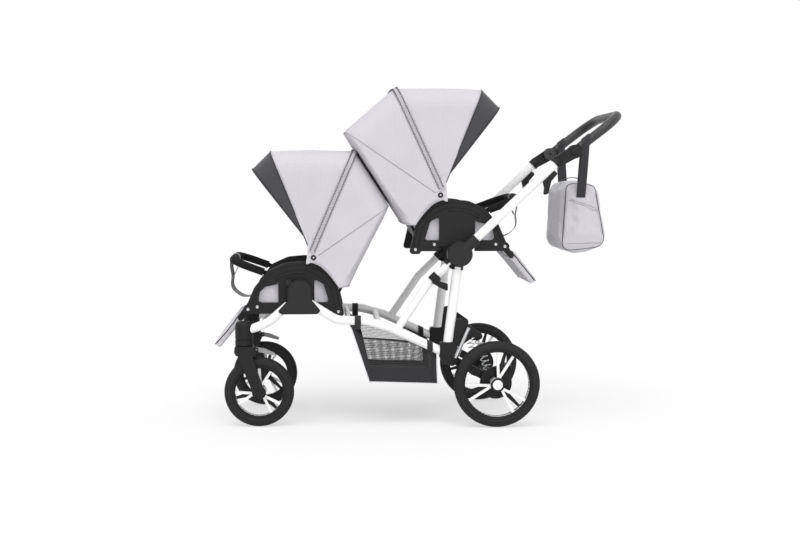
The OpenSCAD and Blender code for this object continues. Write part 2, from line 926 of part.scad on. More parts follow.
module tilt_button(side) {
    color("gray")
        placed()
            on_side(side)
                spun(tilt_at, tilt_out - 10 + button_travel + slide_gap, [
                    [0, 0], [button_d / 2, 0], [button_d / 2, 8], [button_d / 2 - 2, 10], [0, 10.5]
                ]);
}

// Hooked release under a push arm, in distances along the arm and away from it
module fold_trigger(side) {
    away = [arm_dir.y, -arm_dir.x];
    near = tube_d / 2 + slide_gap;
    base = arm_len - sleeve_len - 100;
    hook = rounded([for (p = [[84, near], [84, 30], [50, 34], [14, 58], [-2, 52], [18, 34], [28, near]])
        fold_at + arm_dir * (base + p.x) + away * p.y], [2, 6, 8, 4, 4, 8, 2]);
    color("black")
        placed()
            on_side(side)
                prism(hook, arm_y - 9, arm_y + 9);
}

handle_y = tilt_in - slide_gap - 7;

module handle_bar() {
    start = tilt_r + 4;
    color("black")
        placed() {
            translate([tilt_at.x, 0, tilt_at.y])
                rotate([0, -handle_angle, 0])
                    flat_tube([
                        [start, -handle_y], [handle_reach, -handle_y],
                        [handle_reach, handle_y], [start, handle_y]
                    ], handle_bend_r, grip_d);
            both_sides()
                difference() {
                    union() {
                        rod(tilt_at, 2 * tilt_r - 1, handle_y - 7, handle_y + 7);
                        prism(bar(tilt_at, tilt_at + handle_dir * (start + 6), 2 * tilt_r - 12, grip_d - 4),
                            handle_y - 7, handle_y + 7);
                    }
                    rod(tilt_at, tilt_pin_d + 2 * run_fit, handle_y - 20, handle_y + 20);
                }
        }
}

// Bag

strap_at = tilt_at + handle_dir * 50;
bag_top_z = strap_at.y - 128;
bag_mid = [strap_at.x + 14, bag_top_z - bag_h / 2];
bag_corner_r = [34, 40, 30, 30];

function bag_outline(grow) =
    let(low = bag_top_z - bag_h)
    [for (p = rounded([
        [bag_mid.x - bag_deep / 2 + 2, low], [bag_mid.x + bag_deep / 2, low + 18],
        [bag_mid.x + bag_top / 2 - 12, bag_top_z - 8], [bag_mid.x - bag_top / 2 - 12, bag_top_z]
    ], bag_corner_r, 4)) bag_mid + (p - bag_mid) * grow];

module bag_body() {
    stations = [[1, 0.84], [0.97, 0.95], [0.86, 1], [0.5, 1.03], [0, 1.04],
        [-0.5, 1.03], [-0.86, 1], [-0.97, 0.95], [-1, 0.84]];
    color("lightgray")
        placed()
            loft([for (s = stations) [for (p = bag_outline(s[1])) [p.x, s[0] * bag_w / 2, p.y]]]);
}

// Webbing that leaves the bag's end face, passes over the grip and comes back
module bag_strap() {
    web_t = 2;
    clear = grip_d / 2 + slide_gap + web_t;
    drop = 190;
    foot_y = bag_w / 2 + web_t;
    loop = [for (a = [-10 : 20 : 190]) [handle_y - clear * cos(a), clear * sin(a) / handle_dir.x]];
    inner_leg = [for (t = [0, 0.35, 0.7]) lerp([foot_y - web_t / 2 + 0.2, -drop], loop[0], t)];
    outer_leg = [for (t = [0.3, 0.65, 1])
        lerp(loop[len(loop) - 1], [foot_y + web_t / 2 + 0.4, -drop + 6], t)];
    path = concat(inner_leg, loop, outer_leg);
    n = len(path);
    loft([for (i = [0 : n - 1])
        let(
            dir = unit(path[min(i + 1, n - 1)] - path[max(i - 1, 0)]),
            side = [-dir.y, dir.x] * web_t / 2,
            slope = path[i].y > -40 ? handle_dir : lerp([1, 0], handle_dir, max(0, 1 + path[i].y / drop)),
            wide = unit(slope) * web_w / 2
        )
        [for (k = [[-1, -1], [1, -1], [1, 1], [-1, 1]])
            [strap_at.x + k.x * wide.x, path[i].x + k.y * side.x,
                strap_at.y + path[i].y + k.y * side.y + k.x * wide.y]]
    ]);
}

module bag_straps() {
    color("black")
        placed()
            both_sides()
                bag_strap();
}

// Basket

basket_y = frame_y - 6;
basket_from_hub = 175;
basket_toe = [66, 8];
basket_front_x = front_hub_at.x + basket_from_hub;
basket_rear_x = leg_foot_at.x - 38;
basket_low = rear_tube_route[4].y - basket_deep;
tube_under = tube_d / 2 + 3;
loop_spots = [
    [lerp(rear_tube_route[1], rear_tube_route[2], 0.74), unit(rear_tube_route[2] - rear_tube_route[1])],
    [lerp(rear_tube_route[3], rear_tube_route[4], 0.78), unit(rear_tube_route[4] - rear_tube_route[3])]
];

module basket() {
    toe = [basket_front_x, basket_low] + basket_toe;
    heel = [basket_rear_x + 4, basket_low];
    walls = [
        [basket_front_x, rear_tube_route[2].y - tube_under], toe, heel,
        [basket_rear_x, rear_tube_route[4].y + 6 - tube_under],
        rear_tube_route[3] - [4, tube_under + 4], rear_tube_route[2] - [0, tube_under]
    ];
    hollow = [
        [basket_front_x + cloth_t, fold_h], [basket_front_x + cloth_t + 1, walls[0].y - 1],
        toe + [cloth_t, cloth_t], heel + [-cloth_t, cloth_t], [basket_rear_x - cloth_t, walls[3].y],
        [basket_rear_x - cloth_t, fold_h]
    ];
    color("black")
        placed()
            difference() {
                union() {
                    prism(walls, -basket_y, basket_y);
                    both_sides()
                        for (spot = loop_spots) {
                            side_tube([spot[0] - spot[1] * 10, spot[0] + spot[1] * 10],
                                1, tube_d + 8, frame_y);
                            prism(bar(spot[0] - [0, 30], spot[0], 20, 20), basket_y - cloth_t, basket_y);
                        }
                }
                prism(hollow, -basket_y + cloth_t, basket_y - cloth_t);
                both_sides()
                    side_tube(rear_tube_route, bend_r, tube_d + 2 * run_fit, frame_y);
            }
}

// Seat units, in their own frame

back_hinge = [-74, -140];
back_rod_d = 12;
back_board_t = 8;
back_angle = 116.6;
back_dir = polar(1, back_angle);
back_face = polar(1, back_angle - 90);
calf_dir = polar(1, calf_angle);
calf_up = polar(1, calf_angle + 90);
calf_pin_d = 10;
bumper_angle = 20;
bumper_dir = polar(1, bumper_angle);
bumper_root = [160, -56];
bumper_peg_d = 16;
bumper_peg_len = 38;
bumper_end = bumper_root + bumper_dir * bumper_reach;
pad_u = [-30, 205];
bar_v = -172;
bar_d = 20;
hood_pin_d = 8;
bow_gap = 1;
bow_y = hood_w / 2 - cloth_t - bow_gap - bow_d / 2;
bow_strip_out = bow_y - bow_d / 2 - slide_gap;

module seat_frame(front) {
    peg = front ? front_peg : rear_peg;
    arch = rounded([
        [246, -196], [206, -104], [158, -46], [100, -20], [30, -14], [-30, -38], [-82, -96],
        [-108, -206], [-72, -206], [-66, -196]
    ], [12, 18, 26, 60, 60, 40, 40, 10, 8, 4]);
    window = rounded([
        [194, -158], [187, -120], [168, -102], [130, -94], [119, -80], [-10, -80], [-34, -92], [-54, -158]
    ], [10, 12, 12, 8, 4, 8, 16, 8]);
    adapter = [
        [adapter_u[0], adapter_v[0]], [adapter_u[1], adapter_v[0]],
        [adapter_u[1], adapter_v[1] - 18], [adapter_u[1] - 18, adapter_v[1]], [adapter_u[0], adapter_v[1]]
    ];
    under_adapter = [
        [adapter_u[0], -220], [adapter_u[1], -220],
        [adapter_u[1], adapter_v[0]], [adapter_u[0], adapter_v[0]]
    ];
    color("black")
        placed()
            in_seat(front) {
                both_sides() {
                    difference() {
                        union() {
                            difference() {
                                prism(arch, seat_in, seat_out);
                                prism(window, seat_in - 1, seat_out + 1);
                            }
                            prism(adapter, seat_in, seat_out);
                            prism([[-26, -46], [34, -42], [15, 8], [-15, 8]], seat_in, seat_out);
                            rod([0, 0], 36, seat_in, seat_out);
                            rod(calf_hinge, 32, seat_in, seat_out);
                        }
                        prism(under_adapter, seat_in - 1, seat_out + 1);
                        seat_tongue(peg, peg[2], slide_gap);
                        side_tube([bumper_root - bumper_dir * (bumper_peg_len + 2), bumper_end], 1,
                            bumper_peg_d + 2 * run_fit, peg_y);
                    }
                    rod([0, 0], hood_pin_d, seat_out - 4, bow_y + 3);
                    rod(calf_hinge, calf_pin_d, pad_w / 2 - 11, seat_in + 4);
                }
                for (u = [pad_u[0] + 10, pad_u[1] - 9])
                    rod([u, bar_v], bar_d, -seat_in - 2, seat_in + 2);
                rod(back_hinge, back_rod_d, -seat_in - 2, seat_in + 2);
            }
}

// Stuffed pad along the first axis: crowned faces and sides that draw in between the corners
function pad_section(width, thick) =
    [for (a = [0 : 18 : 342]) [width / 2 * signed_pow(cos(a), 0.45), thick / 2 * signed_pow(sin(a), 0.8)]];

function pad_swell(t) = sqrt(1 - 0.8 * pow(abs(2 * t - 1), 6));

// Rings from point a to point b in the side plane; the pad lies flat on that line and swells towards face
function pad_rings(a, b, face, width, thick) =
    [for (t = [0, 0.03, 0.1, 0.25, 0.5, 0.75, 0.9, 0.97, 1])
        let(
            waist = 1 - 0.04 * pow(sin(180 * t), 2),
            full = thick * (0.8 + 0.2 * sin(180 * t)) * pad_swell(t),
            at = lerp(a, b, t) + face * full / 2,
            ring = pad_section(width * waist * (0.9 + 0.1 * pad_swell(t)), full)
        )
        [for (p = ring) [at.x + face.x * p.y, p.x, at.y + face.y * p.y]]];

module seat_pad(front) {
    low = bar_v + bar_d / 2 + slide_gap;
    color("lightgray")
        placed()
            in_seat(front)
                loft(pad_rings([pad_u[1], low], [pad_u[0], low], [0, 1], pad_w, pad_t));
}

module backrest(front) {
    board_half = pad_w / 2 - 8;
    board = [back_hinge - back_face * 7, back_hinge + back_dir * back_len - back_face * 7];
    pad_back = back_board_t / 2 - 7 + slide_gap;
    back_pad_t = 30;
    color("lightgray")
        placed()
            in_seat(front) {
                difference() {
                    union() {
                        prism(bar(board[0], board[1], back_board_t, back_board_t), -board_half, board_half);
                        rod(back_hinge, back_rod_d + 9, -board_half, board_half);
                    }
                    rod(back_hinge, back_rod_d + 2 * run_fit, -board_half - 1, board_half + 1);
                }
                loft(pad_rings(
                    back_hinge + back_dir * (back_len - 2) + back_face * pad_back,
                    back_hinge + back_dir * 14 + back_face * pad_back,
                    back_face, pad_w, back_pad_t));
            }
}

module calf_rest(front) {
    function leaf(along, up) = calf_hinge + calf_dir * along + calf_up * up;
    panel = rounded([
        leaf(30, -calf_t * 0.4), leaf(calf_len - 10, -calf_t * 0.35), leaf(calf_len, 0),
        leaf(calf_len - 8, calf_t * 0.4), leaf(60, calf_t * 0.6), leaf(30, calf_t * 0.5)
    ], [5, 8, 6, 8, 20, 6]);
    color("lightgray")
        placed()
            in_seat(front)
                difference() {
                    union() {
                        prism(panel, -pad_w / 2, pad_w / 2);
                        both_sides() {
                            prism(bar(leaf(0, 0), leaf(44, 0), 22, 20), pad_w / 2 - 10, pad_w / 2);
                            rod(calf_hinge, calf_pin_d + 12, pad_w / 2 - 10, pad_w / 2);
                        }
                    }
                    rod(calf_hinge, calf_pin_d + 2 * run_fit, -pad_w, pad_w);
                }
}

module bumper_bar(front) {
    foam_start = 14;
    color("black")
        placed()
            in_seat(front) {
                translate([bumper_root.x, 0, bumper_root.y])
                    rotate([0, -bumper_angle, 0])
                        flat_tube([
                            [foam_start, -peg_y], [bumper_reach, -peg_y],
                            [bumper_reach, peg_y], [foam_start, peg_y]
                        ], 75, bumper_d);
                both_sides()
                    side_tube([bumper_root - bumper_dir * bumper_peg_len,
                            bumper_root + bumper_dir * (foam_start + 2)],
                        1, bumper_peg_d, peg_y);
            }
}

// Webbing loop that hangs from the middle of the bumper bar to the front of the seat pad
module bumper_strap(front) {
    web_t = 2;
    clear = bumper_d / 2 + slide_gap + web_t / 2;
    loop = [for (a = [215 : -25 : -10]) bumper_end + polar(clear, a)];
    hang = [
        bumper_end + [clear - 1, -34], bumper_end + [8, -74], bumper_end + [-16, -106],
        [pad_u[1] + 24, bar_v + bar_d / 2 + pad_t / 2 + 6], [pad_u[1] + 2, bar_v + bar_d / 2 + pad_t / 2]
    ];
    path = concat(loop, hang);
    n = len(path);
    color("gray")
        placed()
            in_seat(front)
                loft([for (i = [0 : n - 1])
                    let(
                        dir = unit(path[min(i + 1, n - 1)] - path[max(i - 1, 0)]),
                        side = [-dir.y, dir.x] * web_t / 2
                    )
                    [for (k = [[-1, -1], [1, -1], [1, 1], [-1, 1]])
                        [path[i].x + k.y * side.x, k.x * web_w / 2, path[i].y + k.y * side.y]]]);
}

// Hoods

hub_clear = 24;
visor_edge = [[21, 60], [212, 306]];
hood_hem = [-88, -104];
back_foot = [-124, -101];
front_corner = [-262, 176];
rear_corner = [-329, 219];
front_unit_mid = [-7.5, -1.5];
mid_bow_lead = 1;
bow_drop = 4.5;

function mid_r(front) = mid_bow_r + (front ? front_unit_mid[0] : 0);
function mid_angle(front) = mid_bow_angle + (front ? front_unit_mid[1] : 0);

// Arch-shaped band from a hem point to a crown point, outer face first
function hood_path(base, crown, inset) =
    let(
        length = norm(crown - base) - inset,
        half = hood_w / 2 - inset,
        r = min(shoulder_r, 0.8 * norm(crown - base)) - inset
    )
    concat(
        [[0, -half]],
        [for (a = [0 : 22.5 : 90]) [length - r + r * sin(a), -half + r - r * cos(a)]],
        [for (a = [90 : -22.5 : 0]) [length - r + r * sin(a), half - r + r * cos(a)]],
        [[0, half]]
    );

function hood_ring(base, crown) =
    let(
        dir = unit(crown - base),
        outer = hood_path(base, crown, 0),
        inner = hood_path(base, crown, cloth_t),
        n = len(inner)
    )
    [for (p = concat(outer, [for (i = [n - 1 : -1 : 0]) inner[i]]))
        [base.x + dir.x * p.x, p.y, base.y + dir.y * p.x]];

module hood_back(front) {
    start = [polar(hub_clear, mid_angle(front)), polar(mid_r(front), mid_angle(front))];
    corner_at = front ? front_corner : rear_corner;
    crowns = [start[1], lerp(start[1], corner_at, 0.5), lerp(start[1], corner_at, 0.9),
        for (t = [0.1, 0.4, 0.7, 1]) lerp(corner_at, back_foot, t)];
    n = len(crowns) - 1;
    color("lightgray")
        placed()
            in_seat(front)
                loft([for (i = [0 : n])
                    hood_ring(lerp(start[0], hood_hem, pow(i / n, 1.3)), crowns[i])], true);
}

module hood_front(front) {
    from = front_bow_angle + 0.6;
    to = mid_angle(front) - 0.1;
    rise = 3;
    color("lightgray")
        placed()
            in_seat(front)
                loft([for (i = [0 : 5])
                    let(
                        t = i / 5,
                        crown = lerp(polar(front_bow_r, from), polar(mid_r(front), to), t)
                    )
                    hood_ring(polar(hub_clear, lerp(from, to, t)), crown + [0, rise * sin(180 * t)])], true);
}

module hood_visor(front) {
    root = [polar(hub_clear, front_bow_angle), polar(front_bow_r, front_bow_angle)];
    color("dimgray")
        placed()
            in_seat(front)
                loft([hood_ring(visor_edge[0], visor_edge[1]), hood_ring(root[0], root[1])], true);
}

module hood_bow(angle, from, r) {
    crown = r - cloth_t - bow_gap - bow_drop - bow_d / 2;
    rotate([0, -angle, 0])
        flat_tube([[from, -bow_y], [crown, -bow_y], [crown, bow_y], [from, bow_y]],
            shoulder_r - hood_w / 2 + bow_y, bow_d);
}

module hood_front_bow(front) {
    color("gray")
        placed()
            in_seat(front) {
                hood_bow(front_bow_angle, 10, front_bow_r);
                both_sides()
                    difference() {
                        rod([0, 0], 26, bow_y - 3, bow_y + 3);
                        rod([0, 0], hood_pin_d + 2 * run_fit, bow_y - 4, bow_y + 4);
                    }
            }
}

module hood_mid_bow(front) {
    angle = mid_angle(front) - mid_bow_lead;
    strip_len = 100;
    leg_from = 82;
    color("gray")
        placed()
            in_seat(front) {
                hood_bow(angle, leg_from, mid_r(front));
                both_sides()
                    difference() {
                        union() {
                            prism(bar([0, 0], polar(strip_len, angle), 18, 12), seat_out, bow_strip_out);
                            rod([0, 0], 22, seat_out, bow_strip_out);
                            prism(bar(polar(strip_len - 13, angle), polar(strip_len - 3, angle), 6, 6),
                                seat_out, bow_y - 1);
                        }
                        rod([0, 0], hood_pin_d + 2 * run_fit, seat_out - 1, bow_strip_out + 1);
                    }
            }
}

lower_tubes();
brace_tubes();
rear_legs();
cross_tubes();
fold_hubs();
front_seat_hubs();
swivel_housings();
rear_brackets();
basket();
lock_collar();
transport_lock();
push_arms();
fold_covers();
handle_brackets();
fold_trigger(LEFT);  // fold_trigger_left
fold_trigger(RIGHT);  // fold_trigger_right
handle_bar();
tilt_button(LEFT);  // tilt_button_left
tilt_button(RIGHT);  // tilt_button_right
bag_body();
bag_straps();
fork(LEFT);  // fork_left
fork(RIGHT);  // fork_right
swivel_lock(LEFT);  // swivel_lock_left
swivel_lock(RIGHT);  // swivel_lock_right
front_rim(LEFT);  // front_rim_left
front_rim(RIGHT);  // front_rim_right
front_tyre(LEFT);  // front_tyre_left
front_tyre(RIGHT);  // front_tyre_right
rear_axle();
shock_struts();
shock_springs();
brake_pedal();
rear_rim(LEFT);  // rear_rim_left
rear_rim(RIGHT);  // rear_rim_right
rear_tyre(LEFT);  // rear_tyre_left
rear_tyre(RIGHT);  // rear_tyre_right
seat_frame(true);  // front_seat_frame
seat_pad(true);  // front_seat_pad
backrest(true);  // front_backrest
calf_rest(true);  // front_calf_rest
bumper_bar(true);  // front_bumper_bar
bumper_strap(true);  // front_bumper_strap
hood_mid_bow(true);  // front_hood_mid_bow
hood_front_bow(true);  // front_hood_front_bow
hood_back(true);  // front_hood_back
hood_front(true);  // front_hood_front
hood_visor(true);  // front_hood_visor
seat_frame(false);  // rear_seat_frame
seat_pad(false);  // rear_seat_pad
backrest(false);  // rear_backrest
calf_rest(false);  // rear_calf_rest
bumper_bar(false);  // rear_bumper_bar
bumper_strap(false);  // rear_bumper_strap
hood_mid_bow(false);  // rear_hood_mid_bow
hood_front_bow(false);  // rear_hood_front_bow
hood_back(false);  // rear_hood_back
hood_front(false);  // rear_hood_front
hood_visor(false);  // rear_hood_visor
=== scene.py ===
"""Dresses a tandem pram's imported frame: cloth hoods, pads, a bag, a basket, tread, trim and finishes."""

import json
import math

import bmesh
import bpy
from mathutils import Matrix, Vector, noise
from mathutils.bvhtree import BVHTree


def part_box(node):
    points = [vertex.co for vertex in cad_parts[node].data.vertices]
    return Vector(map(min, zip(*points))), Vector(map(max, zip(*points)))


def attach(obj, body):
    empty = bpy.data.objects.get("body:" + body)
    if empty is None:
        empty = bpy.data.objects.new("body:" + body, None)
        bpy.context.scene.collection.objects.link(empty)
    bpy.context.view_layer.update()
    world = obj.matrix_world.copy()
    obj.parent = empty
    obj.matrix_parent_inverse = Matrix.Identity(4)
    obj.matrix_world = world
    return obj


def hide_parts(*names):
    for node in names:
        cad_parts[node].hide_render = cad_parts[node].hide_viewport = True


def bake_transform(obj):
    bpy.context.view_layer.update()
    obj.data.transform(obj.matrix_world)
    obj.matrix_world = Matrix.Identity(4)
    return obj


bl_info = {
    "name": "Tandem Pram Dresser",
    "version": (1, 0, 0),
    "blender": (4, 5, 0),
    "location": "View3D > Sidebar > Pram",
    "description": "Dresses a tandem pram's frame with hoods, pads, bag, basket, tread and finishes",
    "category": "Object",
}

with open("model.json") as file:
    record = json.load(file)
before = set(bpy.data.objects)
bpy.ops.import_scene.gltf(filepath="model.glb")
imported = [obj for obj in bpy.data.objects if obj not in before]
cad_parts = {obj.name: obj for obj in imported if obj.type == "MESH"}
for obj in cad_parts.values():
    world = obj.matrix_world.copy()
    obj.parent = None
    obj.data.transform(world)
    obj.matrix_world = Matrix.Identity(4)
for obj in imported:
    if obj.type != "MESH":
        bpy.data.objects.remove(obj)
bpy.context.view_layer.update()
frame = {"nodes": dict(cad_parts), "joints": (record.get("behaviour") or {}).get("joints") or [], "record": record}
JOINTS = {joint["name"]: joint for joint in frame["joints"]}
MM = 0.001
UNITS = {"front": -1, "rear": 1}
HOOD_HINGE = {unit: Vector(JOINTS[f"{unit}_hood_fold"]["pos_m"]) for unit in UNITS}
SIDES = {"left": -1, "right": 1}


def linear(code):
    """An sRGB hex value as linear red, green and blue."""
    parts = [int(code[i:i + 2], 16) / 255 for i in (0, 2, 4)]
    return [c / 12.92 if c <= 0.04045 else ((c + 0.055) / 1.055) ** 2.4 for c in parts]


def colour(label, words, code):
    return bpy.props.FloatVectorProperty(
        name=label, description=words, subtype="COLOR", size=3, min=0, max=1, default=linear(code))


def length(label, words, mm):
    return bpy.props.FloatProperty(
        name=label, description=words, subtype="DISTANCE", unit="LENGTH", min=0, default=mm * MM)


class PramColours(bpy.types.PropertyGroup):
    cloth: colour("Cloth", "Hoods, pads and bag", "c3c1c6")
    visor: colour("Visor", "Hood visors and dark bindings", "3e3e41")
    paint: colour("Paint", "Powder coat on the tubes", "f1f1f0")
    moulding: colour("Moulding", "Black glass-filled nylon mouldings", "131314")
    cover: colour("Cover", "Charcoal covers over the joints", "1e1e1f")
    rubber: colour("Rubber", "Tyres", "1a1a1b")
    leatherette: colour("Leatherette", "Wrap on the handle", "29292a")
    webbing: colour("Webbing", "Straps", "29292d")
    trim: colour("Trim", "Fins and caps on the wheels", "f2f2f1")


class PramSizes(bpy.types.PropertyGroup):
    cloth_t: length("Cloth", "Thickness of the hood cloth", 2.5)
    piping_d: length("Piping", "Diameter of the sewn piping", 3.6)
    zip_w: length("Zip", "Width of the zip band over a middle bow", 22)
    tread_h: length("Tread", "Height of the tread blocks", 1.8)
    stitch: length("Stitch", "Length of one stitch on the handle", 7)
    screw_d: length("Screw", "Diameter of a screw head", 11)
    net_pitch: length("Net", "Spacing of the basket's net", 4.5)


def colours():
    return bpy.context.scene.pram_colours


def sizes():
    return bpy.context.scene.pram_sizes


# Places, in mm

REAR_AXLE_X = 262.556


def seat_point(unit, u, v, y=0.0):
    """A point in mm forward of, above and across from a seat unit's hood hinge."""
    return HOOD_HINGE[unit] + Vector((UNITS[unit] * u, y, v)) * MM


def side_point(x, z, y=0.0):
    """A point given in mm from the rear axle and the floor."""
    return Vector((x + REAR_AXLE_X, y, z)) * MM


def polar(r, degrees):
    return Vector((r * math.cos(math.radians(degrees)), r * math.sin(math.radians(degrees))))


def mix(a, b, t):
    return a + (b - a) * t


def clamp(value):
    return min(max(value, 0), 1)


def swell(*shares):
    """1 in the middle of a panel and 0 along its edges."""
    return math.prod(math.sin(math.pi * share) for share in shares)


def spread(a, b, steps):
    """Evenly spaced points from a to b, both included."""
    return [mix(a, b, i / steps) for i in range(steps + 1)]


def along(points, t):
    """The point a share t of the way through a list of points, counted by points."""
    place = clamp(t) * (len(points) - 1)
    i = min(int(place), len(points) - 2)
    return mix(points[i], points[i + 1], place - i)


def between(knots, s):
    """The value at s in a list of (s, value) pairs."""
    for (a, p), (b, q) in zip(knots, knots[1:]):
        if s <= b:
            return mix(p, q, (s - a) / (b - a))
    return knots[-1][1]


def smooth_path(points, steps=6):
    """A smooth path through points."""
    out = []
    for i in range(len(points) - 1):
        a, b = points[max(i - 1, 0)], points[i]
        c, d = points[i + 1], points[min(i + 2, len(points) - 1)]
        for k in range(steps):
            t = k / steps
            out.append(0.5 * (2 * b + (c - a) * t + (2 * a - 5 * b + 4 * c - d) * t ** 2
                              + (3 * b - a - 3 * c + d) * t ** 3))
    return out + [points[-1]]


# Meshes


def finish_piece(name, bm, material, body, slot, smooth=True):
    """Turns a bmesh in the row frame into a piece that rides on a body."""
    mesh = bpy.data.meshes.new(name)
    bm.to_mesh(mesh)
    bm.free()
    mesh.materials.append(material)
    mesh.polygons.foreach_set("use_smooth", [smooth] * len(mesh.polygons))
    piece = bpy.data.objects.new(name, mesh)
    bpy.context.scene.collection.objects.link(piece)
    if body:
        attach(piece, body)
    return piece


def modifier(piece, kind, **settings):
    made = piece.modifiers.new(kind.title(), kind)
    for key, value in settings.items():
        setattr(made, key, value)


def face_out(bm):
    bmesh.ops.recalc_face_normals(bm, faces=bm.faces)


def surface_grid(columns, rows, at):
    """A grid laid over a surface: at(s, t) gives its points, and its UV map holds s and t, from 0 to 1."""
    bm = bmesh.new()
    bm.loops.layers.uv.new("UVMap")
    bmesh.ops.create_grid(bm, x_segments=columns, y_segments=rows, size=0.5, calc_uvs=True)
    for vert in bm.verts:
        vert.co = at(vert.co.x + 0.5, vert.co.y + 0.5)
    return bm


def cloth_grid(columns, rows, at, behind):
    """A grid laid over a surface, with its faces turned away from a point behind it."""
    bm = surface_grid(columns, rows, at)
    bm.normal_update()
    if sum(f.normal.dot(f.calc_center_median() - behind) * f.calc_area() for f in bm.faces) < 0:
        bmesh.ops.reverse_faces(bm, faces=bm.faces)
    return bm


def cut_size(at, area, steps=24):
    """The mean width and the length of the cloth on a surface, the length along its longest line."""
    shares = [i / steps for i in range(steps + 1)]
    lines = [[at(s, t) for s in shares] for t in shares] + [[at(s, t) for t in shares] for s in shares]
    longest = max(sum((b - a).length for a, b in zip(line, line[1:])) for line in lines)
    return area / longest, longest


def sewn_panel(name, grid, look, thickness):
    """A panel of cloth: grid holds what cloth_grid asks for, and look its material, body and slot."""
    bm = cloth_grid(*grid)
    area = sum(f.calc_area() for f in bm.faces)
    piece = finish_piece(name, bm, *look)
    modifier(piece, "SOLIDIFY", thickness=thickness, offset=-1)
    cut_size(grid[2], area)
    return piece


def tube(bm, path, r, sides=8, closed=False):
    """A round tube along a path, made by carrying one ring of points from point to point."""
    count = len(path)
    rings = []
    side = None
    for i, point in enumerate(path):
        before = path[(i - 1) % count] if closed else path[max(i - 1, 0)]
        after = path[(i + 1) % count] if closed else path[min(i + 1, count - 1)]
        ahead = (after - before).normalized()
        if side is None:
            side = ahead.orthogonal().normalized()
        side = (side - ahead * side.dot(ahead)).normalized()
        ring = bmesh.ops.create_circle(bm, segments=sides, radius=r, cap_ends=False)["verts"]
        turned = Matrix((side, ahead.cross(side), ahead)).transposed().to_4x4()
        bmesh.ops.transform(bm, matrix=Matrix.Translation(point) @ turned, verts=ring)
        rings.append(ring)
    for a, b in zip(rings, rings[1:] + rings[:1] if closed else rings[1:]):
        edges = [e for ring in (a, b) for e in {e for v in ring for e in v.link_edges}
                 if all(w in ring for w in e.verts)]
        bmesh.ops.bridge_loops(bm, edges=edges)
    if not closed:
        for ring in (rings[0], rings[-1]):
            bmesh.ops.contextual_create(bm, geom=ring)


def lathe(bm, profile, place, side, steps=28):
    """A round fitting that faces out to one side: (radius, height) in mm, spun about its axis."""
    own = bmesh.new()
    verts = [own.verts.new((r * MM, side * h * MM, 0)) for r, h in profile]
    edges = [own.edges.new(pair) for pair in zip(verts, verts[1:])]
    bmesh.ops.spin(own, geom=verts + edges, axis=(0, 1, 0), cent=(0, 0, 0), steps=steps, angle=2 * math.pi,
                   use_merge=True)
    bmesh.ops.remove_doubles(own, verts=own.verts, dist=0.01 * MM)
    face_out(own)
    bmesh.ops.translate(own, verts=own.verts, vec=place)
    mesh = bpy.data.meshes.new("Turned")
    own.to_mesh(mesh)
    own.free()
    bm.from_mesh(mesh)
    bpy.data.meshes.remove(mesh)


def plate(bm, outline, y0, y1):
    """A flat moulding: an outline in the side plane, drawn from y0 to y1."""
    verts = [bm.verts.new((p.x, y0 * MM, p.z)) for p in outline]
    face = bmesh.ops.contextual_create(bm, geom=verts)["faces"]
    grown = bmesh.ops.extrude_face_region(bm, geom=face)["geom"]
    moved = [g for g in grown if isinstance(g, bmesh.types.BMVert)]
    bmesh.ops.translate(bm, verts=moved, vec=(0, (y1 - y0) * MM, 0))


def piping(name, paths, material, body, slot, d=None, closed=False):
    """Round cord of d mm sewn along one or more paths, as one piece."""
    bm = bmesh.new()
    for path in paths:
        tube(bm, path, d * MM / 2 if d else sizes().piping_d / 2, 8, closed)
    face_out(bm)
    return finish_piece(name, bm, material, body, slot)


def ribbon(name, path, widths, mm, material, body, slot):
    """Flat webbing some mm thick along a path, with a sideways width vector at each point."""
    bm = surface_grid(len(path) - 1, 4, lambda s, t: along(path, s) + along(widths, s) * (t - 0.5))
    piece = finish_piece(name, bm, material, body, slot)
    modifier(piece, "SOLIDIFY", thickness=mm * MM, offset=0)
    modifier(piece, "BEVEL", width=mm * MM / 4, segments=2, limit_method="ANGLE")
    return piece


def crease(point, size, depth, salt):
    """Slow uneven sag of stretched cloth."""
    return depth * noise.noise(point / size + Vector((salt, salt * 0.7, 0)))


# Materials


def add(tree, kind, inputs=None, **settings):
    """Adds a node with its settings; an input that is given a socket is linked to it."""
    made = tree.nodes.new("ShaderNode" + kind)
    for key, value in settings.items():
        setattr(made, key, value)
    for key, value in (inputs or {}).items():
        if isinstance(value, bpy.types.NodeSocket):
            tree.links.new(value, made.inputs[key])
        else:
            made.inputs[key].default_value = value
    return made


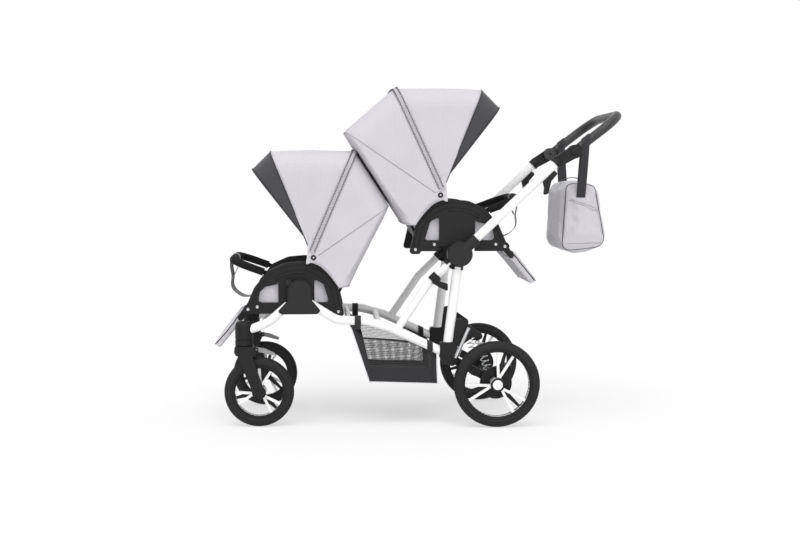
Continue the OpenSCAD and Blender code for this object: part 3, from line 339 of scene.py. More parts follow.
class Finish:
    """A material in the making: even values on its shader's sockets, and grain of real sizes in mm."""

    def __init__(self, name, rgb, size, low, high, detail=4, **sockets):
        """Starts with a colour that noise makes uneven, from low to high times its brightness."""
        self.material = bpy.data.materials.new(name)
        self.material.use_nodes = True
        self.tree = self.material.node_tree
        self.shader = self.tree.nodes["Principled BSDF"]
        for key, value in sockets.items():
            self.shader.inputs[key.replace("_", " ")].default_value = value
        coords = add(self.tree, "TexCoord").outputs
        self.place, self.uv = coords["Object"], coords["UV"]
        self.cloud = self.noise(size, detail)
        dark, light = [(*[min(c * share, 1) for c in rgb], 1) for share in (low, high)]
        self.tint = add(self.tree, "Mix", {0: self.cloud, 6: dark, 7: light}, data_type="RGBA").outputs[2]
        self.link(self.tint, "Base Color")

    def link(self, value, socket):
        self.tree.links.new(value, self.shader.inputs[socket])

    def noise(self, size, detail, place=None):
        grain = {"Vector": self.place if place is None else place, "Scale": 1000 / size, "Detail": detail}
        return add(self.tree, "TexNoise", grain).outputs["Fac"]

    def cells(self, size, feature="SMOOTH_F1"):
        return add(self.tree, "TexVoronoi", {"Vector": self.place, "Scale": 1000 / size},
                   feature=feature).outputs["Distance"]

    def ranged(self, value, low, high):
        return add(self.tree, "MapRange", {"Value": value, "To Min": low, "To Max": high}).outputs["Result"]

    def rough(self, height, low, high):
        self.link(self.ranged(height, low, high), "Roughness")

    def bump(self, height, mm, strength, invert=False):
        relief = {"Height": height, "Distance": mm * MM, "Strength": strength}
        self.link(add(self.tree, "Bump", relief, invert=invert).outputs["Normal"], "Normal")


def once(make):
    """Makes a material the first time that its name is asked for."""
    return lambda name, *how: bpy.data.materials.get(name) or make(name, *how).material


@once
def powder_coat(name):
    """Aluminium tube, powder coated: smooth satin white with a faint orange-peel in its highlights."""
    coat = Finish(name, colours().paint, 60, 0.965, 1.0, IOR=1.5, Coat_Weight=0.25, Coat_Roughness=0.2)
    peel = coat.noise(2.2, 2)
    coat.rough(peel, 0.3, 0.42)
    coat.bump(peel, 0.05, 0.5)
    return coat


@once
def moulded(name, rgb):
    """Glass-filled nylon or ABS from a spark-eroded mould: an even matt grain with a soft sheen on edges."""
    nylon = Finish(name, rgb, 25, 0.86, 1.12, IOR=1.48, Specular_IOR_Level=0.3)
    grain = nylon.cells(1.6)
    nylon.rough(grain, 0.46, 0.62)
    nylon.bump(grain, 0.12, 0.6)
    return nylon


@once
def woven(name, rgb, thread_mm, contrast, sheen):
    """Polyester, plain woven from pale and dark yarns; threads of about 0.5 mm are drawn coarser to show."""
    cloth = Finish(name, rgb, thread_mm * 2.2, 1 - contrast, 1 + contrast, 6,
                   Roughness=0.85, IOR=1.45, Sheen_Weight=sheen, Sheen_Roughness=0.5)
    fade = cloth.ranged(cloth.noise(90, 3), 0.95, 1.05)
    shade = add(cloth.tree, "HueSaturation", {"Color": cloth.tint, "Value": fade})
    cloth.link(shade.outputs["Color"], "Base Color")
    weave = {"Vector": cloth.place, "Scale": 50 / thread_mm, "Distortion": 0.6, "Detail": 1,
             "Detail Scale": 2}
    threads = [add(cloth.tree, "TexWave", weave, bands_direction=way).outputs["Fac"] for way in "XYZ"]
    lumpy = threads[0]
    for more in threads[1:] + [cloth.cloud]:
        lumpy = add(cloth.tree, "Math", {0: lumpy, 1: more}, operation="ADD").outputs[0]
    cloth.bump(lumpy, 0.25, 0.5)
    return cloth


@once
def pebbled_leatherette(name):
    """Polyurethane leatherette, embossed: small round pebbles with a soft shine on their tops."""
    skin = Finish(name, colours().leatherette, 12, 0.8, 1.2, IOR=1.5, Sheen_Weight=0.1)
    pebble = skin.cells(3.0)
    skin.rough(pebble, 0.42, 0.62)
    skin.bump(pebble, 0.4, 0.7, True)
    return skin


@once
def skinned_foam(name):
    """Extruded EVA foam sleeve: a dull black with a coarse broken skin."""
    foam = Finish(name, colours().moulding, 5, 0.7, 1.7, Roughness=0.88, IOR=1.4, Specular_IOR_Level=0.3)
    foam.bump(foam.cells(4.0, "F1"), 0.7, 0.8)
    return foam


@once
def tyre_rubber(name):
    """Moulded EVA rubber: matt near-black, a little paler where it is scuffed."""
    rubber = Finish(name, colours().rubber, 18, 0.8, 1.25, IOR=1.5, Specular_IOR_Level=0.3)
    rubber.rough(rubber.cloud, 0.55, 0.78)
    rubber.bump(rubber.noise(1.5, 3), 0.15, 0.5)
    return rubber


@once
def plated_steel(name, code, rough):
    """Steel, plated or blackened, with a faint drawn streak."""
    steel = Finish(name, linear(code), 8, 0.9, 1.06, Metallic=1.0)
    streak = add(steel.tree, "Mapping", {"Vector": steel.place, "Scale": (1, 1, 0.12)}).outputs[0]
    steel.rough(steel.noise(1.2, 2, streak), rough - 0.06, rough + 0.1)
    return steel


@once
def gloss_plastic(name):
    """Polypropylene, moulded and polished: clean white with a clear shine."""
    gloss = Finish(name, colours().trim, 30, 0.96, 1.0, IOR=1.49, Coat_Weight=0.2)
    gloss.rough(gloss.cloud, 0.24, 0.34)
    return gloss


@once
def narrow_webbing(name, rgb):
    """Polyester webbing, narrow woven: ribs across the strap, from its own map, and a dense weave."""
    web = Finish(name, rgb, 3, 0.75, 1.3, Roughness=0.8, IOR=1.45, Sheen_Weight=0.2)
    ribs = add(web.tree, "TexWave", {"Vector": web.uv, "Scale": 9.0, "Distortion": 0.5}, bands_direction="Y")
    web.bump(ribs.outputs["Fac"], 0.4, 0.6)
    return web


@once
def even_thread(name, rgb, rough=0.7):
    """Spun polyester thread or net filament: fine, a little uneven in shade."""
    return Finish(name, rgb, 2.5, 0.85, 1.12, IOR=1.45, Roughness=rough)


def tinted(rgb, share):
    return [min(c * share, 0.9) for c in rgb]


def hood_cloth():
    return woven("Melange_Polyester_Woven_Grey", colours().cloth, 2.4, 0.06, 0.15)


def lining_cloth_painted_light():
    # Painted light: the lining is drawn 1.6 times as bright as the hood cloth, to make up for the shade it lies in
    # behind the side frame's windows.
    return woven("Brushed_Polyester_Woven_Pale", tinted(colours().cloth, 1.6), 2.4, 0.05, 0.2)


def dark_cloth():
    return woven("Melange_Polyester_Woven_Charcoal", colours().visor, 2.4, 0.16, 0.2)


def black_cloth():
    return woven("Oxford_Polyester_Woven_Black", tinted(colours().visor, 0.42), 2.0, 0.14, 0.12)


def black_moulding():
    return moulded("Moulded_Nylon_Black", colours().moulding)


def black_webbing():
    return narrow_webbing("Polyester_Webbing_Black", colours().webbing)


def zinc():
    return plated_steel("Zinc_Plated_Steel", "c9cacc", 0.3)


def seam_thread():
    return even_thread("Seam_Thread_Grey", tinted(colours().cloth, 0.42))


def binding(shade, rgb):
    """The bound edge of a panel, a little rougher than a seam."""
    return even_thread(f"Bound_Edge_{shade}", rgb, 0.85)


def dark_binding():
    return binding("Charcoal", tinted(colours().visor, 0.8))


# Hoods: places in mm from the hood hinge, forward and up

HOOD_HALF, SHOULDER = 212, 72
SIDE_END, SHOULDER_END, CROWN_RISE = 0.6, 0.84, 3
HOOD_MIDDLE = (-60, 150)
FRONT_BOW = (397, 67.8)
MID_BOW = {"front": (395.5, 111.5), "rear": (403, 113)}
BACK_CORNER = {"front": Vector((-262, 176)), "rear": Vector((-329, 219))}
BACK_FOOT = Vector((-124, -101))
FRONT_FEET = (Vector((9, 21)), Vector((4, 17)))
VISOR_EDGE = (Vector((21, 60)), Vector((212, 306)))
VISOR_FOOT = 72
PUFF = {"front": 5, "rear": 3}
SALT = {"front": 3.1, "rear": 7.7}
TUCK, VISOR_TUCK = 0.012, 6
PANELS = {"back": (72, 30, 1.1), "front": (72, 18, 1.2), "visor": (72, 8, 0.4)}
HINGE_TAB = ((17, 74), (20, 40), (22, 8), (25, -21), (10, -18), (-8, -12), (-8, 20), (6, 66))
TAB = [Vector(p) for p in ((13, -14), (-22, -28), (-54, -58), (-77, -88), (-88, -104))]
SEAM_FOOT, ZIP_FOOT = Vector((-16, 7)), Vector((15, -2))
SEAM_D, VISOR_SEAM_D, VISOR_BINDING_D = 1.6, 2.4, 5
ZIP_TILT, ZIP_TOOTH = 23, (4.6, 3.2, 1.6)
FITTINGS = {
    "eyelets": [(3.8, -1), (3.8, 0.4), (4.8, 1.6), (7, 2.4), (9.2, 1.6), (9.8, -1)],
    "rivets": [(0, 1.6), (2.6, 1.4), (3.6, 0.4), (3.7, -1)],
}


def arch(unit, base, crown, s, lift=0.0, tuck=0.0):
    """A point on a hood's arch: s runs from the left hem over the crown to the right hem, both tucked in."""
    reach = (crown - base).length
    r = min(SHOULDER, 0.8 * reach)
    q = 2 * min(s, 1 - s)
    if q < SIDE_END:
        up, y = (reach - r) * q / SIDE_END, HOOD_HALF + lift
    elif q < SHOULDER_END:
        a = math.radians(90 * (q - SIDE_END) / (SHOULDER_END - SIDE_END))
        up, y = reach - r + r * math.sin(a), HOOD_HALF - r + r * math.cos(a)
    else:
        share = 1 - (q - SHOULDER_END) / (1 - SHOULDER_END)
        up, y = reach + CROWN_RISE * (1 - share ** 2), (HOOD_HALF - r) * share
    flat = base + (crown - base).normalized() * (up + lift)
    inward = tuck * clamp((0.25 - q) / 0.15)
    return seat_point(unit, *flat, (-1 if s < 0.5 else 1) * (y - inward))


def arch_path(unit, base, crown, lift, steps=64, first=0.0, last=1.0, tuck=0.0):
    return [arch(unit, base, crown, s, lift, tuck) for s in spread(first, last, steps)]


def hood_lines(unit):
    """For each hood panel, the base and crown at a share t of the way along it."""
    mid, front, corner = polar(*MID_BOW[unit]), polar(*FRONT_BOW), BACK_CORNER[unit]
    foot = polar(VISOR_FOOT, FRONT_BOW[1])
    over = [mix(mid, corner, t) for t in (0, 0.35, 0.7, 0.95)]
    down = [mix(corner, BACK_FOOT, t) for t in (0.05, 0.35, 0.7, 1)]
    crowns, bases = smooth_path(over + down, 4), smooth_path(TAB, 4)
    return {
        "back": lambda t: (along(bases, t ** 1.2), along(crowns, t)),
        "front": lambda t: (mix(*FRONT_FEET, t), mix(front, mid, t) + Vector((0, 3 * swell(t)))),
        "visor": lambda t: (mix(VISOR_EDGE[0], foot, t), mix(VISOR_EDGE[1], front, t)),
    }


def hood_grid(unit, part):
    """The grid of one hood panel, with the slow creases of cloth stretched between bows."""
    columns, rows, slack = PANELS[part]
    line = hood_lines(unit)[part]
    salt = SALT[unit]
    middle = seat_point(unit, *HOOD_MIDDLE)

    def at(s, t):
        point = arch(unit, *line(t), s, 0, VISOR_TUCK if part == "visor" else 0)
        if part == "front":
            point.y *= 1 - TUCK * t
        out = (point - middle).normalized()
        held = swell(clamp(t)) * min(1, 6 * min(s, 1 - s))
        fan = math.atan2(point.z - middle.z, point.x - middle.x)
        pull = noise.noise(Vector((fan * 7 + salt, point.y * 4, salt)))
        top = max(0, 1 - (4 * abs(s - 0.5)) ** 2) * PUFF[unit] if part == "back" else 0
        return point + out * held * MM * (slack * pull + crease(point, 0.11, slack, salt) + top)

    return columns, rows, at, middle


class PRAM_OT_hoods(bpy.types.Operator):
    """Stretches the cloth panels of both hoods over their bows."""
    bl_idname = "pram.hoods"
    bl_label = "Hoods"

    def execute(self, context):
        for unit in UNITS:
            looks = {
                "back": (hood_cloth(), f"{unit}_seat", "grey_cloth"),
                "front": (hood_cloth(), None, "grey_cloth"),
                "visor": (dark_cloth(), f"{unit}_hood", "visor_cloth"),
            }
            for part, look in looks.items():
                piece = sewn_panel(f"{unit}_hood_{part}_cloth", hood_grid(unit, part), look, sizes().cloth_t)
                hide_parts(f"{unit}_hood_{part}")
                if part == "front":
                    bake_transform(piece)
        return {"FINISHED"}


class PRAM_OT_hood_trim(bpy.types.Operator):
    """Sews the zips, seams, bindings and eyelets onto both hoods."""
    bl_idname = "pram.hood_trim"
    bl_label = "Hood trim"

    def execute(self, context):
        hem_cord = binding("Grey", tinted(colours().cloth, 0.8))
        for unit in UNITS:
            lines = hood_lines(unit)
            on_seat, on_hood = (f"{unit}_seat", "grey_cloth"), (f"{unit}_hood", "visor_cloth")
            self.zip_over(unit, ZIP_FOOT, lines["front"](1)[1])
            self.hinge_tabs(unit)
            cloth = BVHTree.FromBMesh(cloth_grid(*hood_grid(unit, "back")))
            seam = arch_path(unit, SEAM_FOOT, BACK_CORNER[unit], 0.7, 96)
            sewn = [spot + out * 0.7 * MM for spot, out, _, _ in map(cloth.find_nearest, seam)]
            piping(f"{unit}_hood_seam", [sewn], seam_thread(), *on_seat, SEAM_D)
            hems = [[arch(unit, *lines["back"](t), s, 0.2) for t in spread(0, 1, 24)] for s in (0, 1)]
            hems.append(arch_path(unit, *lines["back"](1), 0.2))
            piping(f"{unit}_hood_hem", hems, hem_cord, *on_seat)
            for key, t, lift, d in (("binding", 0, 0.3, VISOR_BINDING_D), ("seam", 1, 0.6, VISOR_SEAM_D)):
                path = arch_path(unit, *lines["visor"](t), lift, tuck=VISOR_TUCK)
                piping(f"{unit}_visor_{key}", [path], dark_binding(), *on_hood, d)
            self.eyelets(unit)
        return {"FINISHED"}

    def zip_over(self, unit, base, crown):
        """A band over the middle bow with a row of zip teeth near each of its edges."""
        tape = narrow_webbing("Zip_Tape_Grey", tinted(colours().cloth, 0.86))
        coil = even_thread("Zip_Coil_Grey", tinted(colours().cloth, 0.16), 0.4)
        path = arch_path(unit, base, crown, 1.2, 128, 0.015, 0.985)
        lean = polar(1, ZIP_TILT)
        across = Vector((lean.x, 0, UNITS[unit] * lean.y))
        widths = [across * sizes().zip_w] * len(path)
        ribbon(f"{unit}_zip_tape", path, widths, 1.2, tape, f"{unit}_seat", "grey_cloth")
        bm = bmesh.new()
        shape = Matrix.Diagonal((*[side * MM for side in ZIP_TOOTH], 1))
        teeth = arch_path(unit, base, crown, 2.2, 200, 0.02, 0.98)
        for i, (before, point, after) in enumerate(zip(teeth, teeth[1:], teeth[2:]), 1):
            ahead = (after - before).normalized()
            turned = Matrix((across, ahead, across.cross(ahead))).transposed().to_4x4() @ shape
            for row in (-1, 1):
                off = row * sizes().zip_w * 0.36 + (0.8 if i % 2 else -0.8) * MM
                tooth = bmesh.ops.create_cube(bm, size=1)["verts"]
                bmesh.ops.transform(bm, matrix=Matrix.Translation(point + across * off) @ turned, verts=tooth)
        face_out(bm)
        finish_piece(f"{unit}_zip_coil", bm, coil, f"{unit}_seat", "grey_cloth", False)

    def hinge_tabs(self, unit):
        """Doubled cloth over the feet of the bows, turned in along its edge."""
        bm = bmesh.new()
        outline = smooth_path([seat_point(unit, *p) for p in HINGE_TAB + HINGE_TAB[:1]], 4)[:-1]
        for side in (-1, 1):
            plate(bm, outline, *sorted((side * HOOD_HALF, side * (HOOD_HALF + 0.9))))
        face_out(bm)
        finish_piece(f"{unit}_hinge_tabs", bm, hood_cloth(), f"{unit}_seat", "grey_cloth", False)

    def eyelets(self, unit):
        """Pressed eyelets, blackened, each with a bright rivet in it."""
        black = even_thread("Blackened_Eyelet", tinted(colours().moulding, 0.6), 0.45)
        for key, metal in (("eyelets", black), ("rivets", zinc())):
            bm = bmesh.new()
            for side in (-1, 1):
                lathe(bm, FITTINGS[key], seat_point(unit, 0, 0, side * (HOOD_HALF + 1)), side)
            finish_piece(f"{unit}_hood_{key}", bm, metal, f"{unit}_seat", "steel")


# Pads

PRESSURE, BLOW_FRAMES = 4, 20
PAD_T = {"seat": 42, "back": 30, "calf": 30}
GROOVE_W, GROOVE_D = 6, 5
SEAT_U, SEAT_LOW = (-30, 205), -161.5
BACK = {"hinge": Vector((-74, -140)), "dir": 116.6, "length": 320, "base": -2.5, "foot": 14, "top": 318}
BOARD_HALF, BOARD_R, BARREL_R = 150, 4, 10.5
CALF = {"hinge": Vector((228, -180)), "dir": -50, "middle": 104, "low": 11.5}
BRACKET_Y, BRACKET_REACH, BRACKET_R = (148, 158), 44, (11, 10)
LINING_TOP = ((-72, -150), (-50, -92), (-14, -72), (60, -66), (130, -84), (190, -92), (214, -150))
LINING_LOW, LINING_Y, LINING_BULGE = -161, 164.5, 2.5
PADS = {
    "seat": {"node": "seat_pad", "size": (231, 312, 34), "cap": 9, "rim": (24, 22),
             "grooves": (-20,), "over": 20},
    "back": {"node": "backrest", "size": (300, 312, 23), "cap": 8, "rim": (24, 15),
             "grooves": (-50, 50), "over": 12},
    "calf": {"node": "calf_rest", "size": (144, 313, 26), "cap": 7, "rim": (14, 23),
             "thin": 0.15, "taper": 0.14, "inset": 1, "lift": 0.8},
}


def shown_mesh(piece):
    """A new mesh of what a piece's modifiers make of it."""
    return bpy.data.meshes.new_from_object(piece.evaluated_get(bpy.context.evaluated_depsgraph_get()))


def applied(piece):
    """Replaces a piece's mesh by what its modifiers make of it."""
    piece.data = shown_mesh(piece)
    piece.modifiers.clear()


def inflate(piece, cap):
    """Blows the piece up as a cloth skin, with no point moved further than the cap."""
    start = [v.co.copy() for v in piece.data.vertices]
    cloth = piece.modifiers.new("Cloth", "CLOTH")
    cloth.settings.use_pressure = True
    cloth.settings.uniform_pressure_force = PRESSURE
    cloth.settings.effector_weights.gravity = 0
    scene = bpy.context.scene
    for step in range(1, BLOW_FRAMES + 1):
        scene.frame_set(step)
    applied(piece)
    scene.frame_set(1)
    for vert, old in zip(piece.data.vertices, start):
        move = vert.co - old
        if move.length > cap:
            vert.co = old + move.normalized() * cap


def stuffed(name, bm, body, node, cap, form, voxel=5):
    """A sewn, filled piece: a closed form remeshed, blown up, shaped by form(point) and subdivided once."""
    piece = finish_piece(name, bm, hood_cloth(), body, "grey_cloth")
    modifier(piece, "REMESH", mode="VOXEL", voxel_size=voxel * MM, use_smooth_shade=True)
    applied(piece)
    inflate(piece, cap * MM)
    for vert in piece.data.vertices:
        vert.co = form(vert.co)
    piece.data.polygons.foreach_set("use_smooth", [True] * len(piece.data.polygons))
    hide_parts(node)
    modifier(piece, "SUBSURF", levels=1, render_levels=1)
    return piece


def laid_on(piece, path, lift):
    """A path moved onto a piece's surface, and lifted off it."""
    out = []
    for point in path:
        _, near, normal, _ = piece.closest_point_on_mesh(point)
        out.append(near + normal * lift * MM)
    return out


def pad_frame(unit, at, along_dir, up_dir):
    """The row-frame matrix of a pad: x along, y across, z up, from the seat unit's own directions."""
    x, z = (Vector((UNITS[unit] * way.x, 0, way.y)) for way in (along_dir, up_dir))
    return Matrix.Translation(seat_point(unit, *at)) @ Matrix((x, z.cross(x), z)).transposed().to_4x4()


def cushion_block(place, size, thin):
    """A block with thinner edges and sides that pull in between the corners."""
    bm = bmesh.new()
    bmesh.ops.create_cube(bm, size=2)
    bmesh.ops.subdivide_edges(bm, edges=bm.edges, cuts=11, use_grid_fill=True)
    for vert in bm.verts:
        x, y, z = vert.co
        rim = max(abs(x), abs(y)) ** 6
        corner = (abs(x) * abs(y)) ** 5
        z = z * (1 - thin * rim) if z > 0 else z
        pull = 1 - 0.02 * (1 - corner)
        vert.co = Vector((x * pull * size[0] / 2, y * pull * size[1] / 2, (z + 1) * size[2] / 2)) * MM
    bmesh.ops.transform(bm, matrix=place, verts=bm.verts)
    return bm


def rectangle_path(place, half, r, z, steps=5):
    """A rounded rectangle in a pad's own frame."""
    path = []
    for corner, (sx, sy) in enumerate(((1, 1), (-1, 1), (-1, -1), (1, -1))):
        for i in range(steps + 1):
            turn = polar(r, 90 * corner + 90 * i / steps)
            path.append(Vector((sx * (half[0] - r) + turn.x, sy * (half[1] - r) + turn.y, z)) * MM)
    dense = []
    for point, after in zip(path, path[1:] + path[:1]):
        parts = max(1, int((after - point).length / (12 * MM)))
        dense += spread(point, after, parts)[:-1]
    return [place @ point for point in dense]


def capsule(a, b, ra, rb, steps=10):
    """The outline in the side plane of a bar with round ends."""
    way = math.degrees(math.atan2((b - a).z, (b - a).x))
    out = []
    for centre, r, first in ((a, ra, way + 90), (b, rb, way - 90)):
        for i in range(steps + 1):
            turn = polar(r * MM, first + 180 * i / steps)
            out.append(centre + Vector((turn.x, 0, turn.y)))
    return out


def edged(bm, width=1.2):
    """Faces a moulding outward and rounds its sharp edges."""
    face_out(bm)
    sharp = [e for e in bm.edges if len(e.link_faces) == 2 and e.calc_face_angle() > 0.7]
    bmesh.ops.bevel(bm, geom=sharp, offset=width * MM, offset_type="OFFSET", segments=2, profile=0.5,
                    affect="EDGES", material=-1)


class PRAM_OT_pads(bpy.types.Operator):
    """Fills the seat pads, backrests and calf rests of both seats."""
    bl_idname = "pram.pads"
    bl_label = "Pads"

    def execute(self, context):
        for unit in UNITS:
            self.seat(unit)
            self.back(unit)
            self.calf(unit)
            for name, side in SIDES.items():
                self.lining(unit, name, side)
        return {"FINISHED"}

    def cushion(self, unit, part, place, node, size, cap, rim, grooves=(), over=0, thin=0.4, taper=0, inset=0,
                lift=0.6):
        """A cushion with its piping, sewn grooves across it at places in mm and a taper to its far end."""
        inverse = place.inverted()

        def form(point):
            own = inverse @ point
            sewn = grooves if own.z > over * MM else ()
            dips = sum(math.exp(-((own.x / MM - x) / GROOVE_W) ** 2) for x in sewn)
            low = 1 - taper * clamp((own.x + 0.03) / 0.1)
            own.z = min(max(own.z - dips * GROOVE_D * MM, 0), PAD_T[part] * MM) * low
            return place @ own

        body = f"{unit}_{part}"
        block = cushion_block(place, size, thin)
        piece = stuffed(f"{body}_cushion", block, body, f"{unit}_{node}", cap, form)
        edge = laid_on(piece, rectangle_path(place, [side / 2 - inset for side in size[:2]], *rim), lift)
        piping(f"{body}_piping", [edge], dark_binding(), body, "visor_cloth", closed=True)

    def lining(self, unit, name, side):
        """The cloth side of the seat's liner, behind the windows of the side frame."""
        def at(s, t):
            u = mix(LINING_TOP[0][0], LINING_TOP[-1][0], s)
            v = mix(LINING_LOW, between(LINING_TOP, u), t)
            point = seat_point(unit, u, v, side * (LINING_Y + LINING_BULGE * swell(s, t)))
            return point + Vector((0, crease(point, 0.04, 1.2, 6.0) * MM, 0))

        # The lining's cloth carries painted light: a brighter colour set against the shade behind the windows.
        look = (lining_cloth_painted_light(), f"{unit}_seat", "grey_cloth")
        sewn_panel(f"{unit}_seat_lining_{name}", (36, 16, at, seat_point(unit, 60, -100)), look, 2 * MM)

    def seat(self, unit):
        place = pad_frame(unit, (sum(SEAT_U) / 2, SEAT_LOW), polar(1, 0), polar(1, 90))
        self.cushion(unit, "seat", place, **PADS["seat"])

    def back(self, unit):
        """The back cushion on its board, and the board's hinge barrel."""
        up, out = polar(1, BACK["dir"]), polar(1, BACK["dir"] - 90)
        base = BACK["hinge"] + up * (BACK["foot"] + BACK["top"]) / 2 + out * BACK["base"]
        place = pad_frame(unit, base, up, -out) @ Matrix.Rotation(math.pi, 4, "X")
        self.cushion(unit, "back", place, **PADS["back"])
        bm = bmesh.new()
        board = [seat_point(unit, *(BACK["hinge"] + up * reach - out * 7)) for reach in (0, BACK["length"])]
        hinge = seat_point(unit, *BACK["hinge"])
        barrel = [hinge, hinge + Vector((0.5 * MM, 0, 0))]
        for ends, r in ((board, BOARD_R), (barrel, BARREL_R)):
            plate(bm, capsule(*ends, r, r), -BOARD_HALF, BOARD_HALF)
        edged(bm)
        finish_piece(f"{unit}_back_board", bm, black_moulding(), f"{unit}_back", "black_plastic", False)

    def calf(self, unit):
        """The calf cushion and the two brackets that hinge it."""
        ahead, up = polar(1, CALF["dir"]), polar(1, CALF["dir"] + 90)
        place = pad_frame(unit, CALF["hinge"] + ahead * CALF["middle"] - up * CALF["low"], ahead, up)
        self.cushion(unit, "calf", place, **PADS["calf"])
        bm = bmesh.new()
        ends = [seat_point(unit, *(CALF["hinge"] + ahead * reach)) for reach in (0, BRACKET_REACH)]
        for side in (-1, 1):
            plate(bm, capsule(*ends, *BRACKET_R), *sorted(side * y for y in BRACKET_Y))
        edged(bm)
        finish_piece(f"{unit}_calf_brackets", bm, black_moulding(), f"{unit}_calf", "black_plastic", False)


# Bumper straps: places in mm from the end of a bumper bar, forward and up

BUMPER_END = Vector((282.2, -11.5))
STRAP_BACK = ((6, -62), (-8, -32), (-15, -8))
STRAP_HANG = ((16, -30), (11, -64), (13, -97), (0, -120), (-32, -139))
STRAP_FOOT, STRAP_HOLD = Vector((206, -146)), (229, -135)
STRAP_TURN_R = 15
LOOP_ACROSS, HANG_ACROSS = Vector((0, 30, 0)), Vector((9, 28, 4))


class PRAM_OT_bumper_straps(bpy.types.Operator):
    """Loops a webbing strap from each bumper bar down to the seat."""
    bl_idname = "pram.bumper_straps"
    bl_label = "Bumper straps"

    def execute(self, context):
        web = narrow_webbing("Polyester_Webbing_Grey", tinted(colours().cloth, 0.42))
        up, down = ([BUMPER_END + Vector(p) for p in run] for run in (STRAP_BACK, STRAP_HANG))
        loop = smooth_path(up, 4)[:-1] + [BUMPER_END + polar(STRAP_TURN_R, a) for a in range(200, -11, -15)]
        hang = smooth_path([loop[-1]] + down + [STRAP_FOOT], 8)[1:]
        widths = [LOOP_ACROSS * MM] * len(loop) + [HANG_ACROSS * MM] * len(hang)
        for unit in UNITS:
            path = [seat_point(unit, *p) for p in loop + hang]
            piece = ribbon(f"{unit}_bumper_webbing", path, widths, 2, web, None, "webbing")
            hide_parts(f"{unit}_bumper_strap")
            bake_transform(piece)
        return {"FINISHED"}


# Bag: it hangs behind the handle, with places in mm from the rear axle and the floor

TILT = Vector((269.0, 953.0))
HANDLE_DIR, HANDLE_REACH, HANDLE_Y, HANDLE_BEND, GRIP_R = 37.5, 212, 231, 95, 16
BAG_MID = Vector((322.7, 724.4))
BAG_HALF = 165
BAG_CORNERS = [BAG_MID + Vector(p) for p in ((-84, -131), (86, -113), (44, 123), (-68, 131))]
BAG_RADII = (34, 40, 30, 30)
BAG_SWELL = [(1, 0.82), (0.96, 0.93), (0.86, 0.97), (0.5, 1.0), (0, 1.01)]
BAG_SEAMS = (((262, 790), (392, 749)), ((262, 783), (392, 742)), ((256, 628), (399, 628)))
GRAB_ENDS = (Vector((262, 850)), Vector((362, 846)))
GRAB_RISE, GRAB_W = 16, 26
STRAP_AT = Vector((308.7, 983.4))
STRAP_CLEAR, STRAP_DROP, STRAP_W = GRIP_R + 2.5, 190, 32
BAG_PIPING_Y, BAG_PIPING_D, BAG_SEAM_Y, BAG_SEAM_D = 152, 2.6, 170, 1.5


def rounded_outline(corners, radii, steps=8):
    """A polygon in the side plane with round corners."""
    out = []
    for before, corner, after, r in zip(corners[-1:] + corners, corners, corners[1:] + corners[:1], radii):
        a, b = (before - corner).normalized(), (after - corner).normalized()
        reach = r / math.tan(math.acos(max(-1, min(1, a.dot(b)))) / 2)
        first, last = corner + a * reach, corner + b * reach
        out += [mix(mix(first, corner, t), mix(corner, last, t), t) for t in spread(0, 1, steps)]
    return out


def bag_ring(grow, y, steps=8):
    """The bag's outline at y, made larger or smaller about its middle."""
    outline = rounded_outline(BAG_CORNERS, BAG_RADII, steps)
    return [side_point(*(BAG_MID + (p - BAG_MID) * grow), y) for p in outline]


